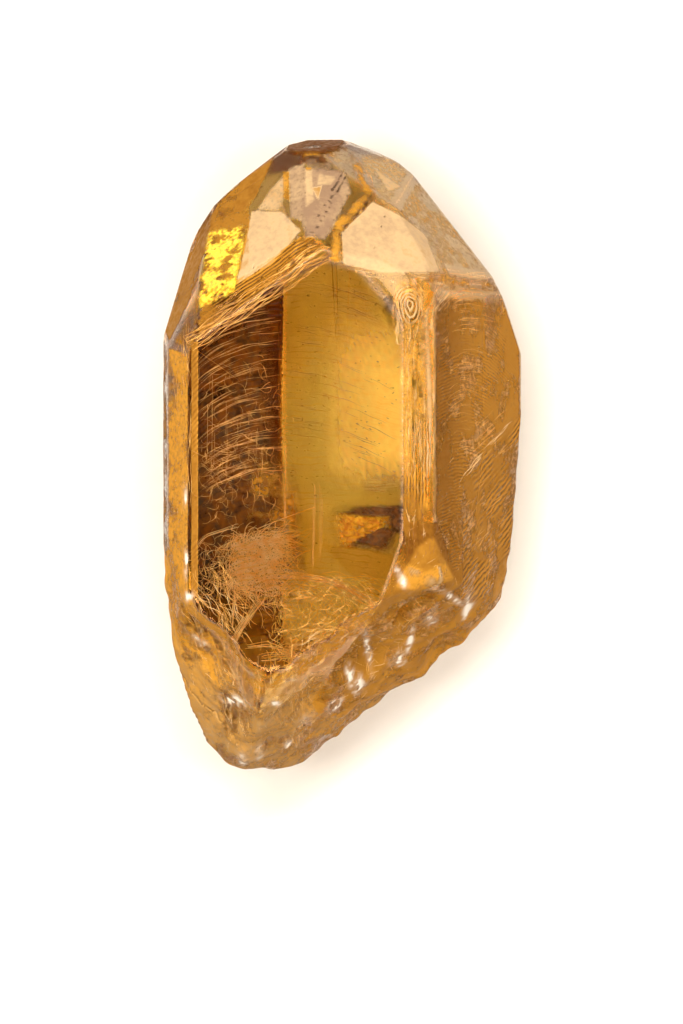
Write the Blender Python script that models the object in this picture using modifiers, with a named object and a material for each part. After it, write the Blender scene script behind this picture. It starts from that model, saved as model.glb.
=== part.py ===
"""Apatite crystal: one natural, clear golden six-sided prism with a many-faced point and a broken base.

Metres, +Z up. The crystal lies on its flat back face: the broadest prism face looks up along +Z, the
point lies towards +Y and the broken foot towards -Y. The origin is under the middle of its box.

Every crystal face is a flat cut, given by the way it looks and by how far it stands from the crystal's
centre: the azimuth turns from +Z towards +X around the long axis, the polar angle opens from +Y.
"""

import math

import bmesh
import bpy
import numpy as np
from mathutils import Matrix, Vector

# Driving dimensions.
MM = 0.001
LENGTH = 50.6 * MM
THICKNESS = 23.0 * MM
CENTRE = Vector((0.0, 0.0, THICKNESS / 2))
HALF_THICKNESS_MM = THICKNESS / 2 / MM

# Prism faces, all along the long axis: azimuth in degrees, polar angle in degrees, reach in millimetres.
PRISM_FACES = {
    "front": (0, 90, HALF_THICKNESS_MM),
    "rib": (30, 90, 12.35),
    "rib_foot": (30, 100, 13.35),
    "right": (60, 90, 11.3),
    "right_edge": (88, 90, 14.3),
    "back_right": (120, 90, 13.65),
    "back": (180, 90, HALF_THICKNESS_MM),
    "back_left": (-119, 90, 9.8),
    "left_edge": (-82, 90, 14.9),
    "left": (-60, 90, 16.15),
    "left_bevel": (-30, 90, 15.8),
}

# Faces of the point.
POINT_FACES = {
    "stepped_band": (-20, 65, 17.15),
    "pyramid_left": (-34, 50, 18.95),
    "pyramid_middle": (2, 42, 19.95),
    "pyramid_seam": (14, 46, 18.98),
    "pyramid_right": (27, 51, 18.3),
    "pyramid_outer_right": (62, 52, 17.4),
    "pyramid_upper_right": (46, 34, 20.5),
    "low_hillock": (10, 82, 13.5),
    "shoulder_right": (60, 72, 14.7),
    "corner_right": (80, 66, 16.75),
    "steep_left": (-72, 66, 17.8),
    "corner_left": (-56, 70, 18.1),
    "cap": (-5, 10, 24.4),
    "cap_left": (-80, 36, 22.55),
    "cap_right": (75, 22, 23.2),
    "back_steep_left": (-106, 66, 17.05),
    "back_pyramid_left": (-112, 50, 19.3),
    "back_pyramid_middle": (178, 44, 20.5),
    "back_pyramid_right": (118, 60, 16.0),
    "back_upper_right": (110, 44, 20.5),
}

# Broad breaks that close the base, before they are roughened and scooped.
BREAKS = {
    "left": (-78, 98, 16.1),
    "left_low": (-70, 121, 21.3),
    "foot": (30, 170, 24.0),
    "front_left": (-50, 125, 20.0),
    "slope": (50, 138, 15.05),
    "lobe": (68, 133, 15.75),
    "right": (78, 108, 14.3),
    "back": (178, 120, 17.5),
    "back_left": (-140, 118, 17.4),
    "back_right": (130, 135, 18.1),
}

# Shell-shaped scoops in the breaks: the break each one bites, the place it is centred on as x and y in
# millimetres from the crystal's centre, its radius and its depth in millimetres.
SCOOPS = {
    "slope_outer": ("slope", 3.2, -21.2, 12.0, 1.1),
    "slope_middle": ("slope", 1.6, -16.4, 6.0, 1.0),
    "slope_right": ("slope", 8.4, -15.6, 5.0, 0.9),
    "slope_inner": ("slope", -2.8, -19.6, 5.0, 0.8),
    "front_left_upper": ("front_left", -10.4, -15.4, 7.0, 0.8),
    "front_left_lower": ("front_left", -8.4, -20.6, 5.0, 0.7),
    "back_upper": ("back", -1.2, -16.8, 7.0, 0.8),
    "back_left_lower": ("back_left", -7.6, -19.0, 6.0, 0.8),
    "back_right_upper": ("back_right", 8.0, -15.4, 6.0, 0.8),
}

EDGE_FLAT = 0.14 * MM
LEAST_WORN_TURN = math.radians(6)
ROUGH_CELL = 0.8 * MM
WORN_ROUNDS = 3
ROUGH_HEIGHT_MM = 0.26

# Bands that grew in steps: the face the treads follow, the band itself, the face the risers follow, how
# many steps there are and how wide each one is, in millimetres.
STEPPED_BANDS = {
    "growth_steps": ("front", "stepped_band", "pyramid_left", 4, 0.76),
    "rib_steps": ("front", "rib", "right", 3, 0.62),
    "shoulder_steps": ("right", "shoulder_right", "pyramid_outer_right", 2, 0.60),
    "seam_steps": ("pyramid_middle", "pyramid_seam", "pyramid_right", 2, 0.38),
}
STEP_RUN = 30.0 * MM

# The lower right part of the right prism face stands back a little, behind a straight low step.
SET_BACK_FACE = (64, 97, 11.42)
SET_BACK_LEFT_X = 9.1 * MM
SET_BACK_MIDDLE_Y = -7.0 * MM
SET_BACK_BLOCK = 24.0 * MM

# The oval hollow where the rib runs out on the broken base.
HOLLOW_PLACE = Vector((6.3 * MM, -12.4 * MM, 18.6 * MM))
HOLLOW_RADII = Vector((2.6 * MM, 1.6 * MM, 1.5 * MM))
HOLLOW_TURN = math.radians(24)

SLIVER = 0.02 * MM
GOLD = (0.80, 0.45, 0.10, 1.0)


def direction(azimuth, polar):
    """The way a face looks, from its two angles in degrees."""
    azimuth = math.radians(azimuth)
    polar = math.radians(polar)
    across = math.sin(polar)
    return Vector((across * math.sin(azimuth), math.cos(polar), across * math.cos(azimuth)))


def height_on(face, x, y):
    """The z in metres at which a face passes over the place (x, y)."""
    azimuth, polar, reach = face
    normal = direction(azimuth, polar)
    return CENTRE.z + (reach * MM - normal.x * x - normal.y * y) / normal.z


def collection(name):
    made = bpy.data.collections.new(name)
    bpy.context.scene.collection.children.link(made)
    return made


def add_object(name, bm, owner):
    """Puts a bmesh into a new object of the given collection."""
    bmesh.ops.recalc_face_normals(bm, faces=bm.faces[:])
    mesh = bpy.data.meshes.new(name)
    bm.to_mesh(mesh)
    bm.free()
    made = bpy.data.objects.new(name, mesh)
    owner.objects.link(made)
    return made


def add_cutter(name, bm, owner):
    made = add_object(name, bm, owner)
    made.hide_render = True
    made.display_type = "WIRE"
    return made


def cut_flat(bm, point, normal):
    """Cuts away what stands outside a plane, and closes the cut with a flat face."""
    cut = bmesh.ops.bisect_plane(
        bm,
        geom=bm.verts[:] + bm.edges[:] + bm.faces[:],
        plane_co=point,
        plane_no=normal,
        clear_outer=True,
    )
    rim = [item for item in cut["geom_cut"] if isinstance(item, bmesh.types.BMEdge)]
    bmesh.ops.holes_fill(bm, edges=rim, sides=0)


def block_cut_by(faces):
    """A block around the crystal, cut flat by each of the faces."""
    bm = bmesh.new()
    bmesh.ops.create_cube(bm, size=LENGTH * 1.2)
    bmesh.ops.translate(bm, verts=bm.verts[:], vec=CENTRE)
    for azimuth, polar, reach in faces:
        normal = direction(azimuth, polar)
        cut_flat(bm, CENTRE + normal * reach * MM, normal)
    return bm


def wear_edges(bm):
    """Cuts a narrow flat along every edge, so that the faces beside it stay exactly flat."""
    bmesh.ops.recalc_face_normals(bm, faces=bm.faces[:])
    bm.normal_update()
    flats = []
    for edge in bm.edges:
        first, second = (face.normal.copy() for face in edge.link_faces)
        turn = first.angle(second)
        if turn > LEAST_WORN_TURN:
            way = (first + second).normalized()
            depth = EDGE_FLAT / 2 * math.tan(turn / 2)
            flats.append((edge.verts[0].co - way * depth, way))
    for point, way in flats:
        cut_flat(bm, point, way)


def apply_modifiers(thing):
    """Replaces an object's mesh with the one its modifiers give."""
    bpy.context.view_layer.update()
    evaluated = thing.evaluated_get(bpy.context.evaluated_depsgraph_get())
    mesh = bpy.data.meshes.new_from_object(evaluated)
    thing.modifiers.clear()
    thing.data = mesh


def boolean(thing, cutter, operation):
    modifier = thing.modifiers.new(cutter.name, "BOOLEAN")
    modifier.object = cutter
    modifier.operation = operation
    modifier.solver = "EXACT"


def rough_height(x, y, z):
    """Height in millimetres of the rough break at a place in millimetres: bent lumps with grit on them."""
    bend_x = 0.9 * np.sin(1.3 * y + 0.7 * x)
    bend_y = 0.8 * np.sin(1.1 * z - 0.6 * y + 1.7)
    bend_z = 0.7 * np.sin(0.9 * x + 1.4 * z + 0.5)
    lumps = np.sin(1.15 * (x + bend_x)) * np.sin(1.05 * (y + bend_y) + 1.0)
    lumps = lumps + np.sin(1.25 * (z + bend_z) + 0.7 * x) * np.cos(0.95 * y)
    grit = np.sin(2.9 * x + 2.0 * bend_y) * np.sin(2.7 * y + 2.0 * bend_z) * np.sin(2.5 * z + bend_x)
    return ROUGH_HEIGHT_MM * (0.5 * lumps + 0.35 * grit)


def roughen(thing):
    """Moves every vertex along its normal by the rough height at its place."""
    mesh = thing.data
    count = len(mesh.vertices)
    places = np.empty(count * 3)
    normals = np.empty(count * 3)
    mesh.vertices.foreach_get("co", places)
    mesh.vertices.foreach_get("normal", normals)
    places = places.reshape(count, 3)
    normals = normals.reshape(count, 3)
    x, y, z = (places / MM).T
    places = places + normals * (rough_height(x, y, z) * MM)[:, None]
    mesh.vertices.foreach_set("co", places.ravel())
    mesh.update()


def make_scoop(name, owner):
    """A ball that bites a shallow shell out of its break."""
    break_name, x, y, radius, depth = SCOOPS[name]
    azimuth, polar, reach = BREAKS[break_name]
    place = Vector((x * MM, y * MM, height_on((azimuth, polar, reach), x * MM, y * MM)))
    bm = bmesh.new()
    bmesh.ops.create_uvsphere(bm, u_segments=40, v_segments=20, radius=radius * MM)
    middle = place + direction(azimuth, polar) * (radius - depth) * MM
    bmesh.ops.translate(bm, verts=bm.verts[:], vec=middle)
    return add_cutter("scoop_" + name, bm, owner)


def make_broken_envelope(owner):
    """The rough body that the base is broken to: its breaks, scooped, evenly meshed and roughened."""
    envelope = add_cutter("broken_envelope", block_cut_by(BREAKS.values()), owner)
    for name in SCOOPS:
        boolean(envelope, make_scoop(name, owner), "DIFFERENCE")
    boolean(envelope, make_hollow_cutter(owner), "DIFFERENCE")
    grid = envelope.modifiers.new("even_grid", "REMESH")
    grid.mode = "VOXEL"
    grid.voxel_size = ROUGH_CELL
    worn = envelope.modifiers.new("worn_breaks", "SMOOTH")
    worn.iterations = WORN_ROUNDS
    apply_modifiers(envelope)
    roughen(envelope)
    return envelope


def meeting_line(first, second):
    """A point on the line where two faces meet, the nearest to the crystal's centre, and the line's way."""
    first_way = direction(*first[:2])
    second_way = direction(*second[:2])
    mix = first_way.dot(second_way)
    first_weight = (first[2] - mix * second[2]) / (1 - mix * mix)
    second_weight = (second[2] - mix * first[2]) / (1 - mix * mix)
    point = CENTRE + (first_way * first_weight + second_way * second_weight) * MM
    return point, first_way.cross(second_way).normalized()


def make_steps_cutter(name, owner):
    """A saw-toothed bar: each tooth leaves a tread along the first face and a riser along the third."""
    tread_name, band_name, riser_name, count, pitch = STEPPED_BANDS[name]
    faces = {**PRISM_FACES, **POINT_FACES}
    tread, band, riser = (direction(*faces[key][:2]) for key in (tread_name, band_name, riser_name))
    corner, along = meeting_line(faces[tread_name], faces[band_name])
    across = along.cross(band)
    if across.dot(riser) < 0:
        across = -across
    pitch = pitch * MM
    tread_angle = tread.angle(band)
    riser_angle = riser.angle(band)
    depth = pitch * math.sin(tread_angle) * math.sin(riser_angle) / math.sin(tread_angle + riser_angle)
    foot = depth / math.tan(riser_angle)
    profile = [(0.0, 0.0)]
    for step in range(count):
        profile.append((step * pitch + foot, -depth))
        profile.append((step * pitch + pitch, 0.0))
    profile.append((count * pitch, pitch))
    profile.append((0.0, pitch))
    bm = bmesh.new()
    start = corner - along * STEP_RUN
    side = bm.faces.new([bm.verts.new(start + across * u + band * v) for u, v in profile])
    swept = bmesh.ops.extrude_face_region(bm, geom=[side])
    moved = [item for item in swept["geom"] if isinstance(item, bmesh.types.BMVert)]
    bmesh.ops.translate(bm, verts=moved, vec=along * 2 * STEP_RUN)
    return add_cutter(name, bm, owner)


def make_set_back_cutter(owner):
    """A block whose under side is the set-back face and whose left side is the straight step."""
    azimuth, polar, reach = SET_BACK_FACE
    outward = direction(azimuth, polar)
    right = Vector((0.0, 1.0, 0.0)).cross(outward).normalized()
    up = outward.cross(right)
    corner_z = height_on(SET_BACK_FACE, SET_BACK_LEFT_X, SET_BACK_MIDDLE_Y)
    corner = Vector((SET_BACK_LEFT_X, SET_BACK_MIDDLE_Y, corner_z))
    middle = corner + (right + outward) * SET_BACK_BLOCK / 2
    turn = Matrix((right, up, outward)).transposed().to_4x4()
    bm = bmesh.new()
    bmesh.ops.create_cube(bm, size=SET_BACK_BLOCK, matrix=Matrix.Translation(middle) @ turn)
    return add_cutter("set_back_block", bm, owner)


def make_hollow_cutter(owner):
    bm = bmesh.new()
    place = Matrix.Translation(HOLLOW_PLACE) @ Matrix.Rotation(HOLLOW_TURN, 4, "Z")
    stretch = Matrix.Diagonal(HOLLOW_RADII).to_4x4()
    bmesh.ops.create_uvsphere(bm, u_segments=24, v_segments=14, radius=1.0, matrix=place @ stretch)
    return add_cutter("oval_hollow", bm, owner)


def clean_and_settle(thing):
    """Removes slivers, and puts the middle of the box over the origin with the back face on z = 0."""
    bm = bmesh.new()
    bm.from_mesh(thing.data)
    bmesh.ops.dissolve_degenerate(bm, dist=SLIVER, edges=bm.edges[:])
    bmesh.ops.triangulate(bm, faces=bm.faces[:])
    bmesh.ops.dissolve_degenerate(bm, dist=SLIVER, edges=bm.edges[:])
    places = np.array([vert.co for vert in bm.verts])
    low = places.min(axis=0)
    high = places.max(axis=0)
    middle = (low + high) / 2
    bmesh.ops.translate(bm, verts=bm.verts[:], vec=(-middle[0], -middle[1], -low[2]))
    bm.to_mesh(thing.data)
    bm.free()


def golden_apatite():
    made = bpy.data.materials.new("golden_apatite")
    made.use_nodes = True
    shader = made.node_tree.nodes["Principled BSDF"]
    shader.inputs["Base Color"].default_value = GOLD
    shader.inputs["Roughness"].default_value = 0.08
    shader.inputs["Metallic"].default_value = 0.0
    shader.inputs["IOR"].default_value = 1.63
    shader.inputs["Transmission Weight"].default_value = 1.0
    return made


def make_crystal(owner, cutters):
    faces = list(PRISM_FACES.values()) + list(POINT_FACES.values())
    body = block_cut_by(faces)
    wear_edges(body)
    crystal = add_object("apatite_crystal", body, owner)
    for name in STEPPED_BANDS:
        boolean(crystal, make_steps_cutter(name, cutters), "DIFFERENCE")
    boolean(crystal, make_set_back_cutter(cutters), "DIFFERENCE")
    boolean(crystal, make_broken_envelope(cutters), "INTERSECT")
    apply_modifiers(crystal)
    clean_and_settle(crystal)
    crystal.data.materials.clear()
    crystal.data.materials.append(golden_apatite())
    return crystal


def main():
    for thing in list(bpy.data.objects):
        bpy.data.objects.remove(thing, do_unlink=True)
    make_crystal(collection("apatite_crystal_parts"), collection("cutters"))


main()
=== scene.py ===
"""A golden apatite crystal, dressed: worn growth faces, a frosted broken base, fine hairs and inner films.

Shapes are worked out in millimetres from the crystal's own centre (x across, y along the long axis
towards the point, z up out of the broad front face) and are put into the frame in metres at the end.
"""

import logging
import math
from dataclasses import dataclass, field
from enum import Enum

import bpy
import numpy as np
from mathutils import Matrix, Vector


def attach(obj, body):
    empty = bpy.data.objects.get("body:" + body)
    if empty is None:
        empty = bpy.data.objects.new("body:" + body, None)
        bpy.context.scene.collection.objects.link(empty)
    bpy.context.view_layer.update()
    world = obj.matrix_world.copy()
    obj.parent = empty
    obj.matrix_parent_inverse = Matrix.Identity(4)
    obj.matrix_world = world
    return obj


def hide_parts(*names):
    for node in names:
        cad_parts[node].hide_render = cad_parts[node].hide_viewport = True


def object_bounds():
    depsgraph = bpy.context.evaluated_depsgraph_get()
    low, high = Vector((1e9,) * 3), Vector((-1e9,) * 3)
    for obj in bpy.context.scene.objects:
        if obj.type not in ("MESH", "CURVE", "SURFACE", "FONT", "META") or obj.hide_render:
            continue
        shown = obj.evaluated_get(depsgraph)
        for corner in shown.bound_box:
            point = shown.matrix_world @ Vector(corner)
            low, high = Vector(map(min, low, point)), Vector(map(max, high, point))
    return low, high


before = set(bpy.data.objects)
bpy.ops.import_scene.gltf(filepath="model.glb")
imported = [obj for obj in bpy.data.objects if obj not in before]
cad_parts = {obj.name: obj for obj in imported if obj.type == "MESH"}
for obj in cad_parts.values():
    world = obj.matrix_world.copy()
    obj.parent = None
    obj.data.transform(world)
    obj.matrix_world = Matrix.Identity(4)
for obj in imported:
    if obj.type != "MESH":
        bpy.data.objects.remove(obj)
CAD_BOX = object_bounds()

LOG = logging.getLogger("apatite")
FILM_MARKS = ("bloom_and_painted_light", "tone", "glint", "cover", "line_phase", "line_strength")
NODE = "apatite_crystal"
BODY = "root"

MM = 0.001
BOX_LOW, BOX_HIGH = (np.array(corner) / MM for corner in CAD_BOX)
HALF_THICKNESS = float(BOX_HIGH[2] - BOX_LOW[2]) / 2

Array = np.ndarray
Pair = tuple[float, float]
Triple = tuple[float, float, float]
Colour = tuple[float, float, float, float]
Hairs = tuple[Array, Array]


@dataclass(frozen=True)
class Face:
    """One flat face: the way it looks in degrees and how far it stands from the centre in millimetres.

    The azimuth turns from +z towards +x around the long axis, the polar angle opens from +y.
    """

    azimuth: float
    polar: float
    reach: float

    @property
    def normal(self) -> Array:
        """Unit vector that the face looks along."""
        azimuth, polar = math.radians(self.azimuth), math.radians(self.polar)
        return np.array(
            [math.sin(polar) * math.sin(azimuth), math.cos(polar), math.sin(polar) * math.cos(azimuth)]
        )

    def height(self, points: Array) -> Array:
        """How far points stand outside the face, negative inside."""
        return points @ self.normal - self.reach


@dataclass(frozen=True)
class Scoop:
    """A shell-shaped bite: the break it lies in, its place, its ball's radius and its depth."""

    in_break: str
    x: float
    y: float
    radius: float
    depth: float


@dataclass(frozen=True)
class SteppedBand:
    """A face that grew in steps: treads follow the first face, risers follow the last one."""

    tread: str
    band: str
    riser: str
    count: int
    pitch: float
    wander: float = 0.0


PRISM_FACES = {
    "front": Face(0, 90, HALF_THICKNESS),
    "rib": Face(30, 90, 12.35),
    "rib_foot": Face(30, 100, 13.35),
    "right": Face(60, 90, 11.3),
    "right_edge": Face(88, 90, 14.3),
    "back_right": Face(120, 90, 13.65),
    "back": Face(180, 90, HALF_THICKNESS),
    "back_left": Face(-119, 90, 9.8),
    "left_edge": Face(-82, 90, 14.9),
    "left": Face(-60, 90, 16.15),
    "left_bevel": Face(-30, 90, 15.8),
}

POINT_FACES = {
    "stepped_band": Face(-20, 65, 17.15),
    "pyramid_left": Face(-34, 50, 18.95),
    "pyramid_middle": Face(2, 42, 19.95),
    "pyramid_seam": Face(14, 46, 18.98),
    "pyramid_right": Face(27, 51, 18.3),
    "pyramid_outer_right": Face(62, 52, 17.4),
    "pyramid_upper_right": Face(46, 34, 20.5),
    "low_hillock": Face(10, 82, 13.5),
    "shoulder_right": Face(60, 72, 14.7),
    "corner_right": Face(80, 66, 16.75),
    "steep_left": Face(-72, 66, 17.8),
    "corner_left": Face(-56, 70, 18.1),
    "cap": Face(-5, 10, 24.4),
    "cap_left": Face(-80, 36, 22.55),
    "cap_right": Face(75, 22, 23.2),
    "back_steep_left": Face(-106, 66, 17.05),
    "back_pyramid_left": Face(-112, 50, 19.3),
    "back_pyramid_middle": Face(178, 44, 20.5),
    "back_pyramid_right": Face(118, 60, 16.0),
    "back_upper_right": Face(110, 44, 20.5),
}

BREAKS = {
    "left": Face(-78, 98, 16.1),
    "left_low": Face(-70, 121, 21.3),
    "foot": Face(30, 170, 24.0),
    "front_left": Face(-50, 125, 20.0),
    "slope": Face(50, 138, 15.05),
    "lobe": Face(68, 133, 15.75),
    "right": Face(78, 108, 14.3),
    "back": Face(178, 120, 17.5),
    "back_left": Face(-140, 118, 17.4),
    "back_right": Face(130, 135, 18.1),
}

SCOOPS = (
    Scoop("slope", 3.2, -21.2, 12.0, 1.1),
    Scoop("slope", 1.6, -16.4, 6.0, 1.0),
    Scoop("slope", 8.4, -15.6, 5.0, 0.9),
    Scoop("slope", -2.8, -19.6, 5.0, 0.8),
    Scoop("front_left", -10.4, -15.4, 7.0, 0.8),
    Scoop("front_left", -8.4, -20.6, 5.0, 0.7),
    Scoop("back", -1.2, -16.8, 7.0, 0.8),
    Scoop("back_left", -7.6, -19.0, 6.0, 0.8),
    Scoop("back_right", 8.0, -15.4, 6.0, 0.8),
)

STEPPED_BANDS = (
    SteppedBand("front", "stepped_band", "pyramid_left", 4, 0.76, 0.10),
    SteppedBand("front", "rib", "right", 3, 0.62, 0.08),
    SteppedBand("right", "shoulder_right", "pyramid_outer_right", 2, 0.60, 0.10),
    SteppedBand("pyramid_middle", "pyramid_seam", "pyramid_right", 2, 0.38, 0.06),
)


def soft_max(heights: Array, softness: float) -> Array:
    """The largest of each row of heights, with the crossings rounded over about the given length.

    It is the highest value plus the softness times the log of the summed exponentials of how far the
    others stand below it.
    """
    top = heights.max(axis=-1)
    spread = np.exp((heights - top[..., None]) / softness).sum(axis=-1)
    return top + softness * np.log(spread)


def soft_larger(first: Array, second: Array, softness: float) -> Array:
    """The larger of two heights with a rounded crossing."""
    return soft_max(np.stack([first, second], axis=-1), softness)


def unit(vector: Array) -> Array:
    """A vector's direction."""
    return vector / np.linalg.norm(vector)


def smooth_step(low: float, high: float, values: Array) -> Array:
    """0 below low, 1 above high, and 3t² - 2t³ between them."""
    t = np.clip((values - low) / (high - low), 0.0, 1.0)
    return t * t * (3.0 - 2.0 * t)


@dataclass
class CrystalForm:
    """The crystal as one height field: positive outside, zero on the surface, negative inside."""

    edge_softness: float = 0.045
    break_softness: float = 0.30
    rough_height: float = 0.26
    set_back: Face = Face(64, 97, 11.42)
    set_back_x: float = 9.1
    hollow_place: Triple = (6.3, -12.4, 7.1)
    hollow_radii: Triple = (2.6, 1.6, 1.5)
    hollow_turn: float = 24.0
    faces: dict[str, Face] = field(default_factory=lambda: {**PRISM_FACES, **POINT_FACES})

    def __post_init__(self) -> None:
        """Gathers the faces' normals and reaches into arrays."""
        self.names = list(self.faces)
        self.normals = np.array([face.normal for face in self.faces.values()])
        self.reaches = np.array([face.reach for face in self.faces.values()])
        self.break_normals = np.array([face.normal for face in BREAKS.values()])
        self.break_reaches = np.array([face.reach for face in BREAKS.values()])
        self.bands = [self._lay_out(band) for band in STEPPED_BANDS]

    def _lay_out(self, band: SteppedBand) -> dict:
        """Works out where a stepped band starts, which way it climbs and how deep its teeth are.

        A tooth is a triangle on the band's plane whose two sides turn away from the band by the angles
        that the tread's face and the riser's face make with it.

        Args:
            band: the stepped band.

        Returns:
            The band's column, its corner point, its two directions, and its tooth's measures.
        """
        tread, middle, riser = (self.faces[name] for name in (band.tread, band.band, band.riser))
        mix = float(tread.normal @ middle.normal)
        first = (tread.reach - mix * middle.reach) / (1 - mix * mix)
        second = (middle.reach - mix * tread.reach) / (1 - mix * mix)
        along = unit(np.cross(tread.normal, middle.normal))
        across = np.cross(along, middle.normal)
        if across @ riser.normal < 0:
            across = -across
        tread_angle = math.acos(np.clip(tread.normal @ middle.normal, -1, 1))
        riser_angle = math.acos(np.clip(riser.normal @ middle.normal, -1, 1))
        opening = math.sin(tread_angle + riser_angle)
        depth = band.pitch * math.sin(tread_angle) * math.sin(riser_angle) / opening
        return {
            "column": self.names.index(band.band),
            "corner": tread.normal * first + middle.normal * second,
            "along": along,
            "across": across,
            "depth": depth,
            "foot": depth / math.tan(riser_angle) / band.pitch,
            "band": band,
        }

    def step_teeth(self, points: Array, layout: dict) -> Array:
        """Depth of a band's teeth at points: a saw whose lines wander a little along the band.

        Args:
            points: places in millimetres.
            layout: what _lay_out worked out for the band.

        Returns:
            How deep the steps are cut under the band's plane.
        """
        band = layout["band"]
        local = points - layout["corner"]
        along = local @ layout["along"]
        across = local @ layout["across"]
        wander = band.wander * (np.sin(1.1 * along + 0.4) + 0.6 * np.sin(2.7 * along + across))
        place = (across + wander * (across > 0)) / band.pitch
        turn = place - np.floor(place)
        tooth = np.minimum(turn / layout["foot"], (1 - turn) / (1 - layout["foot"]))
        return np.where((place > 0) & (place < band.count), tooth * layout["depth"], 0.0)

    def face_heights(self, points: Array) -> Array:
        """Heights of points over every grown face, one column a face, with the stepped bands cut.

        Args:
            points: places in millimetres.

        Returns:
            One column of heights a face.
        """
        heights = points @ self.normals.T - self.reaches
        for layout in self.bands:
            heights[:, layout["column"]] += self.step_teeth(points, layout)
        return heights

    def roughness(self, points: Array) -> Array:
        """Height of the rough break: lumps along bent sines, with grit of a third their size on them.

        Args:
            points: places in millimetres.

        Returns:
            The lumps' height at each place.
        """
        x, y, z = points[:, 0], points[:, 1], points[:, 2] + HALF_THICKNESS
        bend_x = 0.9 * np.sin(1.3 * y + 0.7 * x)
        bend_y = 0.8 * np.sin(1.1 * z - 0.6 * y + 1.7)
        bend_z = 0.7 * np.sin(0.9 * x + 1.4 * z + 0.5)
        lumps = np.sin(1.15 * (x + bend_x)) * np.sin(1.05 * (y + bend_y) + 1.0)
        lumps = lumps + np.sin(1.25 * (z + bend_z) + 0.7 * x) * np.cos(0.95 * y)
        grit = np.sin(2.9 * x + 2.0 * bend_y) * np.sin(2.7 * y + 2.0 * bend_z) * np.sin(2.5 * z + bend_x)
        return self.rough_height * (0.5 * lumps + 0.35 * grit)

    def hollow(self, points: Array) -> Array:
        """Height inside the oval hollow: one minus the scaled distance from its middle.

        Args:
            points: places in millimetres.

        Returns:
            The height, positive inside the hollow.
        """
        turn = math.radians(self.hollow_turn)
        local = points - np.array(self.hollow_place)
        x = local[:, 0] * math.cos(turn) + local[:, 1] * math.sin(turn)
        y = local[:, 1] * math.cos(turn) - local[:, 0] * math.sin(turn)
        scaled = np.stack([x, y, local[:, 2]], axis=1) / np.array(self.hollow_radii)
        return (1.0 - np.linalg.norm(scaled, axis=1)) * min(self.hollow_radii)

    def break_height(self, points: Array) -> Array:
        """Height over the broken base: its breaks, less the scoops and the hollow, and roughened.

        Args:
            points: places in millimetres.

        Returns:
            The height, positive outside the break.
        """
        height = soft_max(points @ self.break_normals.T - self.break_reaches, self.break_softness)
        for scoop in SCOOPS:
            face = BREAKS[scoop.in_break]
            normal = face.normal
            z = (face.reach - normal[0] * scoop.x - normal[1] * scoop.y) / normal[2]
            middle = np.array([scoop.x, scoop.y, z]) + normal * (scoop.radius - scoop.depth)
            bite = scoop.radius - np.linalg.norm(points - middle, axis=1)
            height = soft_larger(height, bite, 0.12)
        height = soft_larger(height, self.hollow(points), 0.10)
        return height - self.roughness(points)

    def set_back_height(self, points: Array) -> Array:
        """Height inside the block that the set-back part of the right face stands behind.

        Args:
            points: places in millimetres.

        Returns:
            The height, positive outside.
        """
        face = self.set_back
        right = unit(np.cross(np.array([0.0, 1.0, 0.0]), face.normal))
        z = (face.reach - face.normal[0] * self.set_back_x - face.normal[1] * -7.0) / face.normal[2]
        corner = np.array([self.set_back_x, -7.0, z])
        return np.minimum(face.height(points), (points - corner) @ right)

    def grown_height(self, points: Array) -> Array:
        """Height over the grown faces alone, with a slow swell so that no face is a perfect mirror.

        Args:
            points: places in millimetres.

        Returns:
            The height, positive outside.
        """
        grown = soft_max(self.face_heights(points), self.edge_softness)
        grown = soft_larger(grown, self.set_back_height(points), self.edge_softness)
        x, y, z = points.T
        swell = np.sin(0.55 * x + 0.8 * np.sin(0.31 * y)) * np.sin(0.43 * y + 0.6 * np.sin(0.5 * z))
        return grown + 0.012 * (1 + swell)

    def outward(self, points: Array) -> Array:
        """Unit vectors out of the grown faces: their normals, weighed by how near the points lie to each."""
        heights = points @ self.normals.T - self.reaches
        weights = np.exp((heights - heights.max(axis=1, keepdims=True)) / 0.2)
        summed = weights @ self.normals
        return summed / np.linalg.norm(summed, axis=1, keepdims=True)

    def outside(self, points: Array) -> Array:
        """Height of points over the whole crystal."""
        return soft_larger(self.grown_height(points), self.break_height(points), 0.06)

    def cast(self, starts: Array, ways: Array, far: float = 40.0, rounds: int = 22) -> Array:
        """Follows lines out of the crystal to its surface, by halving the step between in and out.

        Args:
            starts: points inside the crystal.
            ways: the unit directions to follow.
            far: a distance that is outside for every line.
            rounds: how many times the step is halved.

        Returns:
            The points where the lines meet the surface.
        """
        near = np.zeros(len(starts))
        out = np.full(len(starts), far)
        for _ in range(rounds):
            middle = (near + out) / 2
            is_out = self.outside(starts + ways * middle[:, None]) > 0
            out = np.where(is_out, middle, out)
            near = np.where(is_out, near, middle)
        return starts + ways * ((near + out) / 2)[:, None]


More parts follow.
